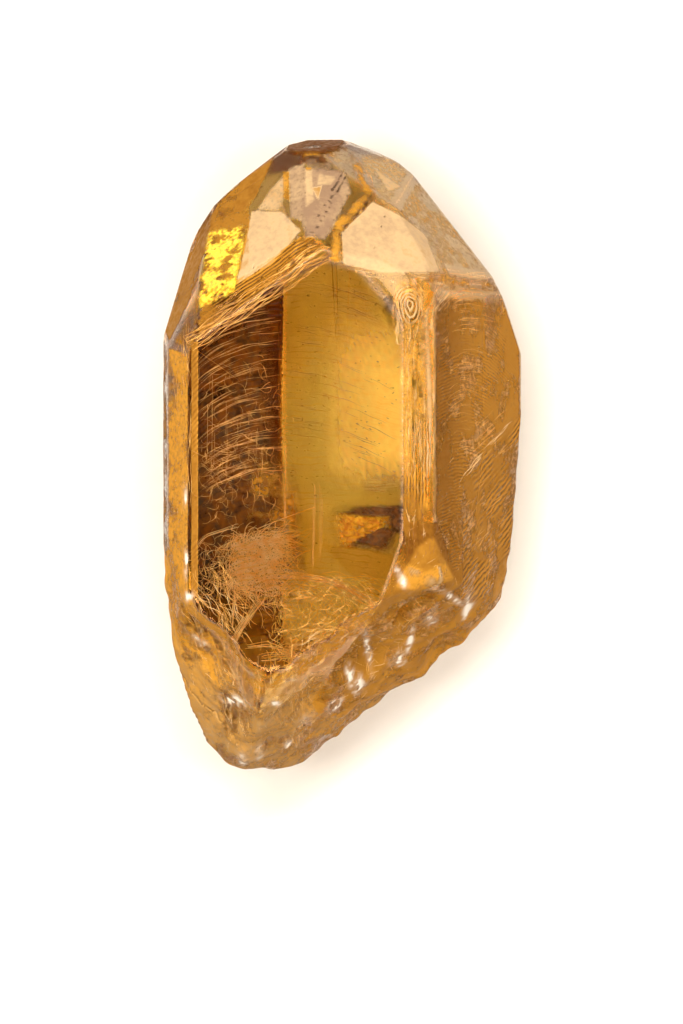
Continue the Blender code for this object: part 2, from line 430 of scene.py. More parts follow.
@dataclass
class CrystalSkin:
    """The crystal's surface as a grid of lines cast out of its long axis: columns round it, rows along it."""

    form: CrystalForm
    low_end: float = -12.0
    high_end: float = 13.0
    front_spacing: float = 0.175
    back_spacing: float = 0.42
    low_rows: int = 94
    high_rows: int = 90
    middle_rows: tuple[tuple[float, float, int], ...] = ((-12.0, -5.0, 35), (-5.0, 8.0, 28), (8.0, 13.0, 28))
    snap_reach: float = 0.10

    def corners(self) -> Array:
        """Where the upright faces of the cross-section meet, as rows of x and z going round it."""
        upright = [face for face in PRISM_FACES.values() if face.polar == 90]
        upright.sort(key=lambda face: face.azimuth)
        found = []
        for one, other in zip(upright, upright[1:] + upright[:1]):
            sides = np.array([one.normal[[0, 2]], other.normal[[0, 2]]])
            found.append(np.linalg.solve(sides, np.array([one.reach, other.reach])))
        return np.array(found)

    def column_angles(self) -> Array:
        """Angles of the columns round the axis: evenly spaced along each side, with every corner kept."""
        corners = self.corners()
        parts = []
        for start, stop in zip(corners, np.roll(corners, -1, axis=0)):
            length = float(np.linalg.norm(stop - start))
            is_back = (start[1] + stop[1]) / 2 < -1.6 and abs(start[0] + stop[0]) < 28 or start[1] < -11
            spacing = self.back_spacing if is_back or stop[1] < -11 else self.front_spacing
            count = max(2, round(length / spacing))
            steps = np.arange(count)[:, None] / count
            places = start + (stop - start) * steps
            parts.append(np.arctan2(places[:, 0], places[:, 1]))
        return np.concatenate(parts)

    def row_lines(self) -> tuple[Array, Array]:
        """Where each row's lines start on the axis, and how far they lean from it towards an end.

        The lowest and highest rows fan out from the two ends of the axis, and those between start from
        places along it and go straight out.

        Returns:
            The starts' places along the axis, and the lines' leans in radians, from -90° to 90°.
        """
        fan = np.linspace(0.0, math.pi / 2, self.low_rows + 1)
        starts = [np.full(self.low_rows - 1, self.low_end)]
        leans = [-fan[1:-1][::-1]]
        for low, high, count in self.middle_rows:
            starts.append(np.linspace(low, high, count, endpoint=False))
            leans.append(np.zeros(count))
        fan = np.linspace(0.0, math.pi / 2, self.high_rows + 1)[:-1]
        starts.append(np.full(len(fan), self.high_end))
        leans.append(fan)
        return np.concatenate(starts), np.concatenate(leans)

    def points(self) -> tuple[Array, int, int]:
        """Casts the grid and settles its points on the creases near them.

        Returns:
            The points, rows first and the two poles last, and the numbers of rows and columns.
        """
        angles = self.column_angles()
        starts, leans = self.row_lines()
        lean = leans[:, None]
        ways = np.stack(
            [
                np.cos(lean) * np.sin(angles)[None, :],
                np.broadcast_to(np.sin(lean), (len(leans), len(angles))),
                np.cos(lean) * np.cos(angles)[None, :],
            ],
            axis=-1,
        ).reshape(-1, 3)
        origins = np.zeros_like(ways)
        origins[:, 1] = np.repeat(starts, len(angles))
        poles = np.array([[0.0, -1.0, 0.0], [0.0, 1.0, 0.0]])
        ways = np.concatenate([ways, poles])
        origins = np.concatenate([origins, poles * [[0, -self.low_end, 0], [0, self.high_end, 0]]])
        found = self.form.cast(origins, ways)
        return self.settle(found), len(starts), len(angles)

    def settle(self, points: Array) -> Array:
        """Slides points that lie close to a crease between grown faces onto it, so that it stays crisp.

        A point on one face moves within that face, straight at the next one, by the gap in their heights
        over the sine of the angle between them. Points on the break stay where they are.

        Args:
            points: places on the surface.

        Returns:
            The places with the near ones moved.
        """
        form = self.form
        free = form.break_height(points) < form.grown_height(points) - 0.35
        moved = points[free]
        for _ in range(2):
            heights = form.face_heights(moved)
            order = np.argsort(-heights, axis=1)[:, :2]
            row = np.arange(len(moved))
            here, there = form.normals[order[:, 0]], form.normals[order[:, 1]]
            mix = np.sum(here * there, axis=1)
            towards = there - mix[:, None] * here
            sine = np.linalg.norm(towards, axis=1)
            gap = heights[row, order[:, 0]] - heights[row, order[:, 1]]
            slide = gap / np.maximum(sine, 1e-6)
            near = (slide < self.snap_reach) & (sine > 0.05)
            moved = moved + np.where(near[:, None], towards / sine[:, None] ** 2 * gap[:, None], 0.0)
        for layout in form.bands:
            band = layout["band"]
            heights = form.face_heights(moved)
            on_band = heights.argmax(axis=1) == layout["column"]
            across = (moved - layout["corner"]) @ layout["across"] / band.pitch
            knees = np.concatenate([np.arange(band.count + 1), np.arange(band.count) + layout["foot"]])
            nearest = knees[np.abs(across[:, None] - knees[None, :]).argmin(axis=1)]
            slide = (nearest - across) * band.pitch
            near = on_band & (np.abs(slide) < self.snap_reach)
            moved = moved + np.where(near[:, None], slide[:, None] * layout["across"], 0.0)
        inward = -moved * np.array([1.0, 0.0, 1.0])
        inward[:, 1] = np.clip(moved[:, 1], self.low_end, self.high_end) - moved[:, 1]
        inward /= np.linalg.norm(inward, axis=1, keepdims=True)
        settled = points.copy()
        settled[free] = form.cast(moved + inward * 1.0, -inward, far=2.0, rounds=16)
        return settled

    def triangles(self, points: Array, rows: int, columns: int) -> Array:
        """Joins the grid, cutting each square along the diagonal that lies closer to the surface.

        Args:
            points: the settled points with the two poles last.
            rows: how many rows the grid has.
            columns: how many columns it has.

        Returns:
            Triangles as rows of three point numbers, all facing outwards.
        """
        grid = np.arange(rows * columns).reshape(rows, columns)
        beside = np.roll(grid, -1, axis=1)
        squares = np.stack([grid[:-1], beside[:-1], beside[1:], grid[1:]], axis=-1).reshape(-1, 4)
        corners = points[squares]
        falling = np.abs(self.form.outside((corners[:, 0] + corners[:, 2]) / 2))
        rising = np.abs(self.form.outside((corners[:, 1] + corners[:, 3]) / 2))
        turned = np.where((rising < falling)[:, None], np.roll(squares, -1, axis=1), squares)
        low_pole, high_pole = rows * columns, rows * columns + 1
        low_fan = np.stack([np.full(columns, low_pole), beside[0], grid[0]], axis=1)
        high_fan = np.stack([np.full(columns, high_pole), grid[-1], beside[-1]], axis=1)
        return np.concatenate([turned[:, [0, 1, 2]], turned[:, [0, 2, 3]], low_fan, high_fan])


def soft_patch(points: Array, place: Pair, size: Pair, turn: float = 0.0) -> Array:
    """A soft oval mark seen from above: e to the minus squared distance over the oval's half widths.

    Args:
        points: places in millimetres.
        place: the oval's middle, x and y.
        size: its half width and half length.
        turn: how far it is turned to the left, in degrees.

    Returns:
        1 in the middle of the oval, falling smoothly to 0 around it.
    """
    angle = math.radians(turn)
    x, y = points[:, 0] - place[0], points[:, 1] - place[1]
    along = (x * math.cos(angle) + y * math.sin(angle)) / size[0]
    across = (y * math.cos(angle) - x * math.sin(angle)) / size[1]
    return np.exp(-(along**2 + across**2))


def distance_to_path(points: Array, path: Array) -> tuple[Array, Array]:
    """Distance seen from above from points to a path of straight stretches, and how far along it lies.

    On each stretch the nearest place is the point's shadow on it, held between its two ends.

    Args:
        points: places in millimetres.
        path: the path's corners as rows of x and y.

    Returns:
        The distances, and the lengths from the path's start to the nearest places.
    """
    nearest = np.full(len(points), np.inf)
    travelled = np.zeros(len(points))
    done = 0.0
    for start, stop in zip(path, path[1:]):
        way = stop - start
        length = float(np.linalg.norm(way))
        share = np.clip((points[:, :2] - start) @ way / length**2, 0.0, 1.0)
        gap = np.linalg.norm(points[:, :2] - start - share[:, None] * way, axis=1)
        closer = gap < nearest
        nearest = np.where(closer, gap, nearest)
        travelled = np.where(closer, done + share * length, travelled)
        done += length
    return nearest, travelled


def inside_outline(points: Array, corners: tuple[Pair, ...], fade: float) -> Array:
    """1 inside a convex outline seen from above, falling to 0 over the fade outside it.

    Args:
        points: places in millimetres.
        corners: the outline's corners, running clockwise.
        fade: the width of the soft border.

    Returns:
        The outline's mark.
    """
    outline = np.array(corners)
    depth = np.full(len(points), np.inf)
    for start, stop in zip(outline, np.roll(outline, -1, axis=0)):
        way = unit(stop - start)
        depth = np.minimum(depth, (points[:, :2] - start) @ np.array([way[1], -way[0]]))
    return smooth_step(-fade / 2, fade / 2, depth)


def ripple(points: Array, size: float, seed: float = 0.0) -> Array:
    """A cheap uneven pattern between -1 and 1: three bent sine products of about the given size.

    Args:
        points: places in millimetres.
        size: the pattern's size in millimetres.
        seed: which pattern it is.

    Returns:
        The pattern at each place.
    """
    x, y, z = points.T * (2 * math.pi / size)
    bent = x + 1.3 * np.sin(0.7 * y + 0.4 * z + seed)
    other = y + 1.1 * np.sin(0.6 * x - 0.5 * z + 2.0 * seed)
    mixed = np.sin(bent) * np.sin(other + 1.0) + np.sin(1.7 * bent + 0.6 * z + seed) * np.cos(1.3 * other)
    return np.clip((mixed + 0.6 * np.sin(2.9 * other + 1.3 * bent)) / 2.2, -1, 1)


def mottle(points: Array, size: float, seed: int = 0, octaves: int = 3) -> Array:
    """An uneven field from 0 to 1: chance values on a lattice, mixed smoothly between its corners.

    Each finer layer has half the size and half the force of the one before it.

    Args:
        points: the places.
        size: the coarsest lattice's step in millimetres.
        seed: which field it is.
        octaves: how many layers are added.

    Returns:
        The field at each place.
    """
    total, forces = np.zeros(len(points)), 0.0
    for layer in range(octaves):
        spots = points / (size / 2**layer) + 19.7 * layer + 7.3 * seed
        low = np.floor(spots).astype(np.int64)
        part = spots - low
        part = part * part * (3 - 2 * part)
        value = np.zeros(len(points))
        for corner in np.ndindex(2, 2, 2):
            mixed = (low + np.array(corner)) @ np.array([73856093, 19349663, 83492791]) + 991 * seed
            mixed = (mixed ^ (mixed >> 13)) * 1274126177 & 0xFFFFFFFF
            mixed = (mixed ^ (mixed >> 16)) * 668265263 & 0xFFFFFFFF
            value += mixed / 2.0**32 * np.prod(np.where(corner, part, 1 - part), axis=1)
        total += value * 0.5**layer
        forces += 0.5**layer
    return total / forces


@dataclass(frozen=True)
class Ridge:
    """A rough ridge where growth faces meet: its path seen from above, half width and height."""

    path: tuple[Pair, ...]
    width: float
    height: float


RIDGES = {
    "middle": Ridge(
        ((-0.6, 15.4), (-0.45, 17.0), (-0.3, 18.1), (0.6, 19.0), (1.65, 20.0), (2.25, 20.5), (1.65, 21.7),
         (1.1, 22.9), (0.7, 24.0)), 0.50, 0.10),
    "upper_right": Ridge(
        ((2.25, 20.5), (4.05, 19.55), (5.65, 18.25), (7.0, 17.5), (7.5, 16.5), (7.8, 15.2), (8.4, 14.0)),
        0.22, 0.06
    ),
    "shelf": Ridge(
        ((-0.2, 15.0), (1.65, 14.5), (3.65, 14.25), (5.65, 14.1), (8.35, 13.95), (11.2, 13.6)), 0.34, 0.05
    ),
    "rib_crest": Ridge(
        ((8.35, 13.6), (7.2, 12.3), (6.55, 10.9), (6.75, 7.5), (6.9, 1.8), (6.6, -4.0)), 0.34, 0.06
    ),
    "rib_left": Ridge(((3.7, 12.3), (4.4, 11.1), (4.75, 9.5), (4.8, 2.0), (4.85, -6.0)), 0.16, 0.03),
    "left_seam": Ridge(((-3.9, 15.0), (-3.5, 17.0), (-4.3, 18.8), (-5.6, 21.0)), 0.20, 0.05),
}


@dataclass(frozen=True)
class Patch:
    """A patch of the film between corners that run clockwise, giving bloom in some places and painted
    reflections in others: its cover, its tone and its soft edge.
    """

    corners: tuple[Pair, ...]
    cover: float
    tone: float
    fade: float = 0.3


PATCHES = (
    Patch(((-7.2, 19.3), (-4.8, 19.2), (-3.3, 17.6), (-5.6, 14.9), (-8.4, 13.3)), 0.92, 0.19, 0.3),
    Patch(((-5.9, 19.2), (-4.5, 18.7), (-3.8, 17.5), (-5.6, 16.4)), 1.0, 0.22, 0.5),
    Patch(((-4.6, 22.4), (-4.1, 21.8), (-5.0, 19.2), (-6.9, 19.3), (-6.0, 20.8)), 0.66, 0.25, 0.6),
    Patch(((-4.3, 22.8), (-3.0, 23.2), (-2.7, 21.0), (-3.2, 18.3), (-4.2, 18.8)), 0.78, 0.09, 0.5),
    Patch(
        ((-3.2, 22.8), (0.2, 22.6), (0.7, 20.6), (-0.5, 18.4), (-1.2, 16.9), (-3.0, 17.2), (-3.5, 19.8)),
        0.86, 0.02, 0.9
    ),
    Patch(((-0.6, 19.0), (0.6, 20.4), (1.0, 21.6), (0.3, 23.2), (-0.6, 22.6), (-1.6, 20.6)), 0.90, 0.16, 0.7),
    Patch(((-4.8, 22.6), (-4.2, 22.4), (-4.2, 20.0), (-4.7, 20.4)), 0.66, 0.74, 0.3),
    Patch(((-3.0, 22.9), (-2.4, 22.9), (-2.2, 20.0), (-3.0, 19.4)), 0.60, 0.85, 0.3),
    Patch(((-1.9, 22.4), (-0.4, 22.0), (-0.9, 21.3), (-2.1, 21.3)), 0.60, 0.80, 0.3),
    Patch(((-2.45, 21.1), (-1.65, 21.3), (-1.9, 20.1)), 1.05, 0.50, 0.12),
    Patch(
        ((2.4, 20.0), (4.4, 19.0), (6.6, 17.4), (7.7, 14.4), (3.6, 14.2), (0.1, 14.9), (-0.1, 17.4)), 1.0,
        0.17, 0.35
    ),
    Patch(((4.0, 17.8), (6.6, 16.8), (7.5, 14.6), (5.0, 14.6)), 1.05, 0.22, 0.9),
    Patch(((2.2, 23.2), (4.8, 21.3), (3.6, 20.8)), 0.74, 0.21, 0.5),
    Patch(
        ((-8.8, 19.2), (-8.2, 21.8), (-6.0, 23.6), (-4.9, 24.2), (-5.4, 22.4), (-6.8, 20.6), (-7.4, 19.2)),
        0.95, 0.80, 0.6
    ),
    Patch(
        (
            (-12.7, 13.4), (-11.4, 17.7), (-9.2, 21.0), (-8.1, 21.6), (-8.8, 19.4), (-10.9, 16.0),
            (-11.9, 12.6)
        ),
        0.95, 0.78, 0.3
    ),
    Patch(((5.9, -7.2), (7.2, -6.4), (9.0, -10.0), (6.0, -10.9), (4.0, -10.6)), 0.66, 0.22, 0.5),
    Patch(((4.9, -5.4), (7.6, -5.4), (8.6, -8.4), (6.6, -9.4), (5.0, -8.8)), 0.86, 0.92, 0.5),
    Patch(((-11.95, 8.7), (-11.42, 8.9), (-11.42, -11.4), (-11.95, -11.2)), 1.0, 0.82, 0.10),
)

# painted reflection: where the bright yellow flakes film lies, standing in for an inner reflection at the top
# left
FLAKE_CORNERS = ((-11.4, 13.2), (-10.6, 17.6), (-8.0, 18.1), (-7.9, 16.6), (-8.6, 12.8), (-11.2, 11.6))

@dataclass(frozen=True)
class Glint:
    """A white glint painted on the skin's film: its middle, its half width and half length, and its turn in
    degrees.
    """

    x: float
    y: float
    width: float
    length: float
    turn: float


GLINT_ROWS = (
    (-8.4, -19.6, 1.0, 0.35, -10), (1.2, -18.4, 0.5, 0.6, 0), (0.6, -17.6, 0.3, 0.7, 10),
    (-5.4, -19.8, 0.5, 0.2, 0), (-7.9, -24.4, 0.35, 0.4, 0), (-6.6, -23.8, 0.22, 0.5, -10),
    (10.0, -12.4, 0.3, 1.1, -10), (7.0, -13.2, 0.4, 0.4, 0), (4.6, -9.8, 0.22, 0.8, 30),
    (-12.2, -11.3, 0.35, 0.3, 0), (-11.3, -14.9, 0.7, 0.22, -35), (4.4, -16.4, 0.5, 0.5, 0),
    (-2.8, -21.2, 0.5, 0.3, 40), (-4.2, -23.4, 0.3, 0.45, 20), (8.7, -11.4, 0.9, 0.18, -35),
    (-12.4, -3.4, 0.16, 0.7, 0), (-12.3, -8.6, 0.16, 0.9, 0), (2.0, -15.6, 0.22, 1.3, 8),
    (5.4, -14.8, 0.2, 0.9, -12), (-0.6, -20.0, 0.6, 0.35, 40),
)

RIDGE_PATH = np.array(((0.9, 23.6), (2.3, 20.6), (-0.1, 18.0), (-0.6, 16.6)))
BAND_PATH = ((-12.2, 8.7), (-7.2, 12.0), (-4.5, 13.8), (-3.0, 15.0), (-0.9, 16.2))


@dataclass
class SkinMarks:
    """What each point of the skin carries for its finish: numbers from 0 to 1, and line counts."""

    form: CrystalForm
    front_line_pitch: float = 0.46
    side_line_pitch: float = 0.27
    whorl_pitch: float = 0.26
    whorl_place: Pair = (5.3, 11.8)
    set_back_line_pitch: float = 0.30
    shelf_line_pitch: float = 0.22
    band_line_pitch: float = 0.24
    edge_width: float = 0.12
    last_points: Array | None = field(default=None, repr=False)
    last_heights: Array | None = field(default=None, repr=False)

    def heights(self, points: Array) -> Array:
        """Heights over every grown face, worked out once while the places stay the same."""
        if self.last_points is not points:
            self.last_points, self.last_heights = points, self.form.face_heights(points)
        return self.last_heights

    def near_face(self, points: Array, names: tuple[str, ...], fade: float = 0.35) -> Array:
        """How surely points lie on the named faces: 1 well inside them, 0 at their edges and beyond.

        Args:
            points: places in millimetres.
            names: the faces' names.
            fade: the width of the soft border.

        Returns:
            The mark at each place.
        """
        heights = self.heights(points)
        columns = [self.form.names.index(name) for name in names]
        others = np.delete(heights, columns, axis=1).max(axis=1)
        inside = heights[:, columns].max(axis=1) - others
        return smooth_step(0.0, fade, inside)

    def broken(self, points: Array) -> Array:
        """1 on the rough break, 0 on the grown faces, with a narrow fade between them."""
        rise = self.form.break_height(points) - self.form.grown_height(points)
        return smooth_step(-0.10, 0.10, rise)

    def edges(self, points: Array) -> Array:
        """1 on the crest between two grown faces, falling to 0 a short way off it."""
        heights = np.sort(self.heights(points), axis=1)
        gap = heights[:, -1] - heights[:, -2]
        sheltered = 1 - 0.85 * np.clip(2 * soft_patch(points, (-11.9, -1.5), (1.0, 13.0)), 0, 1)
        return np.clip(1.0 - gap / self.edge_width, 0.0, 1.0) * (1 - self.broken(points)) * sheltered

    def ribbon(self, points: Array, ridge: Ridge) -> Array:
        """1 along a ridge on the front, falling off to both sides as e to the minus squared distance."""
        gap, _ = distance_to_path(points, np.array(ridge.path))
        return np.exp(-((gap / ridge.width) ** 2)) * (points[:, 2] > 0)

    def relief(self, points: Array) -> Array:
        """How far the rough ridges stand up, in millimetres: their ribbons with an uneven crest."""
        height = np.zeros(len(points))
        for ridge in RIDGES.values():
            height = np.maximum(height, ridge.height * self.ribbon(points, ridge))
        return height * (0.65 + 0.5 * ripple(points, 0.9)) * (1 - self.broken(points))

    def lines(self, points: Array) -> tuple[Array, Array]:
        """Growth lines: how many lines there are up to each point, and how strongly they show there.

        On the front they are flat arches, on the right face steeper ones, on the hillock rings round its
        top, on the shelf and the stepped band lines along them, and on the set-back face straight lines
        that run down to the left.

        Args:
            points: places on the skin.

        Returns:
            The lines' phase and their strength.
        """
        x, y = points[:, 0], points[:, 1]
        wave = 0.10 * ripple(points, 2.6, 1.0)
        front = self.near_face(points, ("front", "left_bevel"))
        right = self.near_face(points, ("right", "right_edge", "rib_foot"))
        rib = self.near_face(points, ("rib",), 0.2)
        hill = np.clip(1.6 * soft_patch(points, self.whorl_place, (1.35, 1.6)), 0, 1)
        steps = self.near_face(points, ("stepped_band",), 0.1)
        set_back = self.set_back(points)
        shelf = self.ribbon(points, RIDGES["shelf"])
        band_gap, _ = distance_to_path(points, np.array(BAND_PATH))
        shelf_gap, _ = distance_to_path(points, np.array(RIDGES["shelf"].path))
        arch = (y + front_arch_level(x) + wave) / self.front_line_pitch
        side_arch = (y + 0.16 * (x - 9.6) ** 2 + wave) / self.side_line_pitch
        upright = (x + 0.6 * wave) / 0.24
        bent = 0.5 * mottle(points, 1.1, 8)
        rings = np.hypot(
            (x - self.whorl_place[0]) * 1.1,
            np.where(y > self.whorl_place[1], 0.9, 0.45) * (y - self.whorl_place[1])
        )
        rings = (rings + bent) / self.whorl_pitch
        slants = (0.77 * x - 0.64 * y + wave) / self.set_back_line_pitch
        kinds = (
            (side_arch, right, 0.35),
            (upright, rib * 0.9, 0.9),
            (slants, set_back, 1.0),
            (band_gap / self.band_line_pitch, steps, 0.9),
            (shelf_gap / self.shelf_line_pitch, shelf, 0.9),
            (rings, hill, 1.0),
        )
        phase = arch.copy()
        strength = 0.55 * front
        for other, share, force in kinds:
            phase = np.where(share > 0.4, other, phase)
            strength = np.where(
                share > 0.4, force * smooth_step(0.4, 0.8, share),
                strength * (1 - share / 0.4 * (share < 0.4))
            )
        return phase, np.clip(strength, 0, 1)

    def haze(self, points: Array, broken: Array) -> Array:
        """Satin sheen: on the break, the ridges, the right faces of the point and the back.

        Args:
            points: places in millimetres.
            broken: the mark of the rough break.

        Returns:
            The sheen at each place.
        """
        back = self.near_face(points, ("back", "back_left", "back_right"), 0.3)
        point = self.near_face(points, ("pyramid_upper_right", "pyramid_outer_right"), 0.3)
        total = np.maximum(0.12 * back, 0.22 * point)
        for ridge in RIDGES.values():
            total = np.maximum(total, 0.5 * self.ribbon(points, ridge))
        return np.clip(np.maximum(total, 0.30 * broken), 0, 1)

    def bloom_and_painted_light(self, points: Array, broken: Array, worn: Array) -> tuple[Array, Array, Array]:
        """The film's cover, its tone and its white glints.

        The tone runs from mauve at 0 over cream and honey to brown at 1. Besides bloom and frost, the film
        paints light: cream and mauve reflections on the faces of the point, brown painted shade on the steep
        side faces, and white highlights at the glints.

        Args:
            points: places on the skin.
            broken: the mark of the rough break.
            worn: how much is left of it, from place to place.

        Returns:
            The cover, the tone and the glints.
        """
        x, y, z = points.T
        upper_side = z > 0
        deep = smooth_step(0.6, 5.0, HALF_THICKNESS - z)
        left = x < -4
        drift = 0.18 * (mottle(points * [1.0, 0.6, 1.0], 1.5, 9) - 0.5)
        # the patches give bloom, and painted reflections in cream and mauve on the faces of the point
        marks = [
            (patch.cover * inside_outline(points, patch.corners, patch.fade) * upper_side, patch.tone + drift)
            for patch in PATCHES
        ]
        # painted highlights: white glints painted into the film's colour
        flecked = 0.15 + 0.85 * smooth_step(0.42, 0.60, mottle(points * [1.0, 0.6, 1.0], 0.45, 6))
        glints = [Glint(*row) for row in GLINT_ROWS]
        spots = [soft_patch(points, (one.x, one.y), (one.width, one.length), one.turn) for one in glints]
        glint = np.clip(1.5 * flecked * np.maximum.reduce(spots) * upper_side, 0, 1)
        milk = smooth_step(-15.0, -22.0, y) * smooth_step(2.0, -6.0, x)
        # painted light by face: brown painted shade on the steep side faces, cream and mauve painted
        # reflections on the point
        faces = (
            (("left",), 0.1, 0.66 * left, 0.52),
            (("left_edge",), 0.15, 0.60 * left, 0.76),
            (("steep_left", "cap_left"), 0.3, 0.86 * left, 0.76 + 0.20 * smooth_step(16.0, 20.0, y)),
            (("corner_left",), 0.2, 0.66 * left, 0.70),
            (("pyramid_left",), 0.2, 0.70 * (x < -7.4), 0.74),
            (("cap",), 0.05, 0.90, 0.95),
            (("stepped_band",), 0.05, 0.66, 0.80),
            (("right",), 0.3, 0.76, 0.86 - 0.12 * smooth_step(8.0, 11.0, x)),
            (("shoulder_right", "corner_right"), 0.3, 0.54, 0.66),
            (("pyramid_upper_right", "cap_right"), 0.3, 0.52, 0.26),
            (("pyramid_outer_right",), 0.3, 0.50, 0.31),
            (("pyramid_middle",), 0.2, 0.60, -0.05),
            (
                ("rib", "rib_foot"), 0.05, 0.50 + 0.24 * smooth_step(0.0, -4.0, y),
                0.46 + 0.34 * smooth_step(0.5, -4.0, y)
            ),
            (("low_hillock",), 0.2, 0.62, 0.28),
            (("back", "back_left", "back_right"), 0.3, 0.25, 0.40),
            (("right_edge",), 0.3, 0.66, 0.66),
        )
        for names, fade, cover, tone in faces:
            marks.append((cover * self.near_face(points, names, fade), tone))
        marks.append((0.76 * self.set_back(points), 0.76))
        marks.append((np.clip(1.5 * soft_patch(points, self.whorl_place, (1.5, 1.8)), 0, 1) * 0.55, 0.27))
        clear = 1 - 0.8 * np.clip(soft_patch(points, (-3.4, -14.3), (4.4, 3.0), -15), 0, 1)
        pale = np.maximum(milk, smooth_step(-2.0, 4.0, x) * smooth_step(-11.0, -14.0, y))
        streaked = mottle(points * [1.0, 0.25, 1.0], 0.8, 8) - 0.5
        marks.append((
            broken * deep * clear * (
                0.60 + 0.08 * pale + 0.20 * smooth_step(-9.0, -12.0, x) + 0.30 * streaked
            ),
            0.44 - 0.08 * pale - 0.12 * streaked
        ))
        brow = broken * smooth_step(0.05, 0.4, HALF_THICKNESS - z) * smooth_step(4.0, 1.6, HALF_THICKNESS - z)
        marks.append((brow * (0.66 + 0.3 * streaked), 0.56))
        marks.append((1.1 * soft_patch(points, (-2.0, 24.25), (2.9, 0.55), 5.0) * (y > 20), 0.96))
        ridges = (
            ("middle", 0.72, 0.58), ("upper_right", 0.62, 0.34), ("shelf", 0.60, 0.27),
            ("rib_crest", 0.72, 0.22), ("rib_left", 0.40, 0.40), ("left_seam", 0.62, 0.30),
        )
        fore = smooth_step(-2.0, 1.0, z)
        marks += [(force * fore * self.ribbon(points, RIDGES[name]), tone) for name, force, tone in ridges]
        covers = np.stack([cover for cover, _ in marks], axis=1)
        covers[:, len(PATCHES):] *= (0.78 + 0.44 * (worn - 0.5))[:, None]
        tones = np.stack([tone + 0 * x for _, tone in marks], axis=1)
        weights = covers**4 + 1e-9
        tone = (weights * tones).sum(axis=1) / weights.sum(axis=1)
        return np.clip(np.maximum(covers.max(axis=1), glint), 0, 1), tone, glint

    def set_back(self, points: Array) -> Array:
        """1 on the set-back part of the right face."""
        faces = self.heights(points).max(axis=1)
        return smooth_step(-0.08, 0.02, self.form.set_back_height(points) - faces)

    def amber(self, points: Array, broken: Array) -> Array:
        """Deeper orange: in the right face, the outer left faces and the break, and low in the front.

        Args:
            points: places in millimetres.
            broken: the mark of the rough break.

        Returns:
            The orange's depth at each place.
        """
        x, y = points[:, 0], points[:, 1]
        brim = np.exp(-(((x - 7.5) / 1.0) ** 2)) * smooth_step(-2.0, 3.0, y)
        right_depth = 0.66 + 0.26 * brim - 0.12 * smooth_step(9.0, 13.0, x)
        facet = inside_outline(
            points, ((-3.1, -7.2), (0.4, -7.2), (4.9, -8.2), (4.9, -14.0), (3.0, -12.0), (-3.4, -8.6)), 0.2
        )
        low = 0.20 * smooth_step(-3.0, -7.5, y) + 0.16 * facet
        seam = 0.34 * soft_patch(points, (-3.2, -6.0), (1.3, 4.5))
        seam = seam + 0.16 * soft_patch(points, (-3.9, 8.0), (1.2, 8.0))
        olive = 0.34 * smooth_step(5.0, 14.0, y - 0.7 * x)
        heart = 0.42 * soft_patch(points, (-3.4, -14.0), (4.6, 3.2), -15)
        sides = 0.26 * smooth_step(-6.0, -11.0, x) + 0.16 * smooth_step(4.0, 9.0, x)
        faces = (
            (("right", "right_edge"), 0.2, right_depth * smooth_step(4.0, 7.5, x)),
            (("left",), 0.2, 0.50 * (x < 0)),
            (("left_edge", "back_left"), 0.2, 0.78 * (x < -6)),
            (("steep_left", "cap_left", "back_steep_left"), 0.2, 0.97 * (x < -4)),
            (("corner_left", "left_bevel"), 0.2, 0.74 * (x < -4)),
            (("front",), 0.2, low + seam + olive),
            (("rib", "rib_foot"), 0.1, 0.12 + 0.40 * smooth_step(1.0, -5.0, y)),
            (("stepped_band",), 0.1, 0.66),
            (("shoulder_right", "corner_right"), 0.2, 0.50),
        )
        parts = [depth * self.near_face(points, names, fade) for names, fade, depth in faces]
        parts += [broken * (0.26 + sides + heart), 0.66 * self.set_back(points)]
        return np.clip(np.maximum.reduce(parts), 0, 1)

    def painted_shade(self, points: Array) -> Array:
        """Painted shade: grey-violet dimness on the middle face of the point, and less on its right and at
        the cap.

        Args:
            points: places in millimetres.

        Returns:
            The dimness at each place.
        """
        faces = (
            (("pyramid_middle", "pyramid_seam"), 0.3, 0.95),
            (("pyramid_seam",), 0.1, 0.5),
            (("pyramid_upper_right", "cap_right"), 0.3, 0.55),
            (("pyramid_outer_right", "corner_right"), 0.3, 0.45),
            (("pyramid_left",), 0.2, 0.35 * smooth_step(-8.6, -7.6, points[:, 0])),
        )
        parts = [depth * self.near_face(points, names, fade) for names, fade, depth in faces]
        return np.clip(np.maximum.reduce(parts), 0, 1)

    def rust_and_shade(self, points: Array) -> Array:
        """Brown stain on the cap and along the ridges, darker brown in the hollow, and painted shadows on the
        faces of the point.

        Args:
            points: places in millimetres.

        Returns:
            The stain at each place.
        """
        cap = self.near_face(points, ("cap",)) + soft_patch(points, (-2.4, 24.3), (2.8, 0.8), 6.0)
        cap = np.clip(cap, 0, 1) * smooth_step(18.0, 21.0, points[:, 1])
        hollow = soft_patch(points, (6.2, -12.0), (1.9, 1.1), 24.0) * (points[:, 2] > 4)
        ridges = np.maximum.reduce([
            self.ribbon(points, RIDGES[name]) for name in ("middle", "upper_right", "left_seam")
        ])
        ridges = ridges * smooth_step(-2.0, 1.0, points[:, 2])
        # painted shadows: dark patches on the faces of the point
        shadows = 0.8 * soft_patch(points, (-1.5, 21.7), (0.9, 0.4), 20)
        shadows = shadows + 0.6 * soft_patch(points, (-5.2, 21.0), (0.35, 1.5), -20)
        shadows = (shadows + 0.5 * soft_patch(points, (-2.8, 18.6), (0.4, 1.6), 12)) * (points[:, 2] > 0)
        return np.clip(np.maximum.reduce([0.9 * cap, 1.3 * hollow, 0.6 * ridges, shadows]), 0, 1)

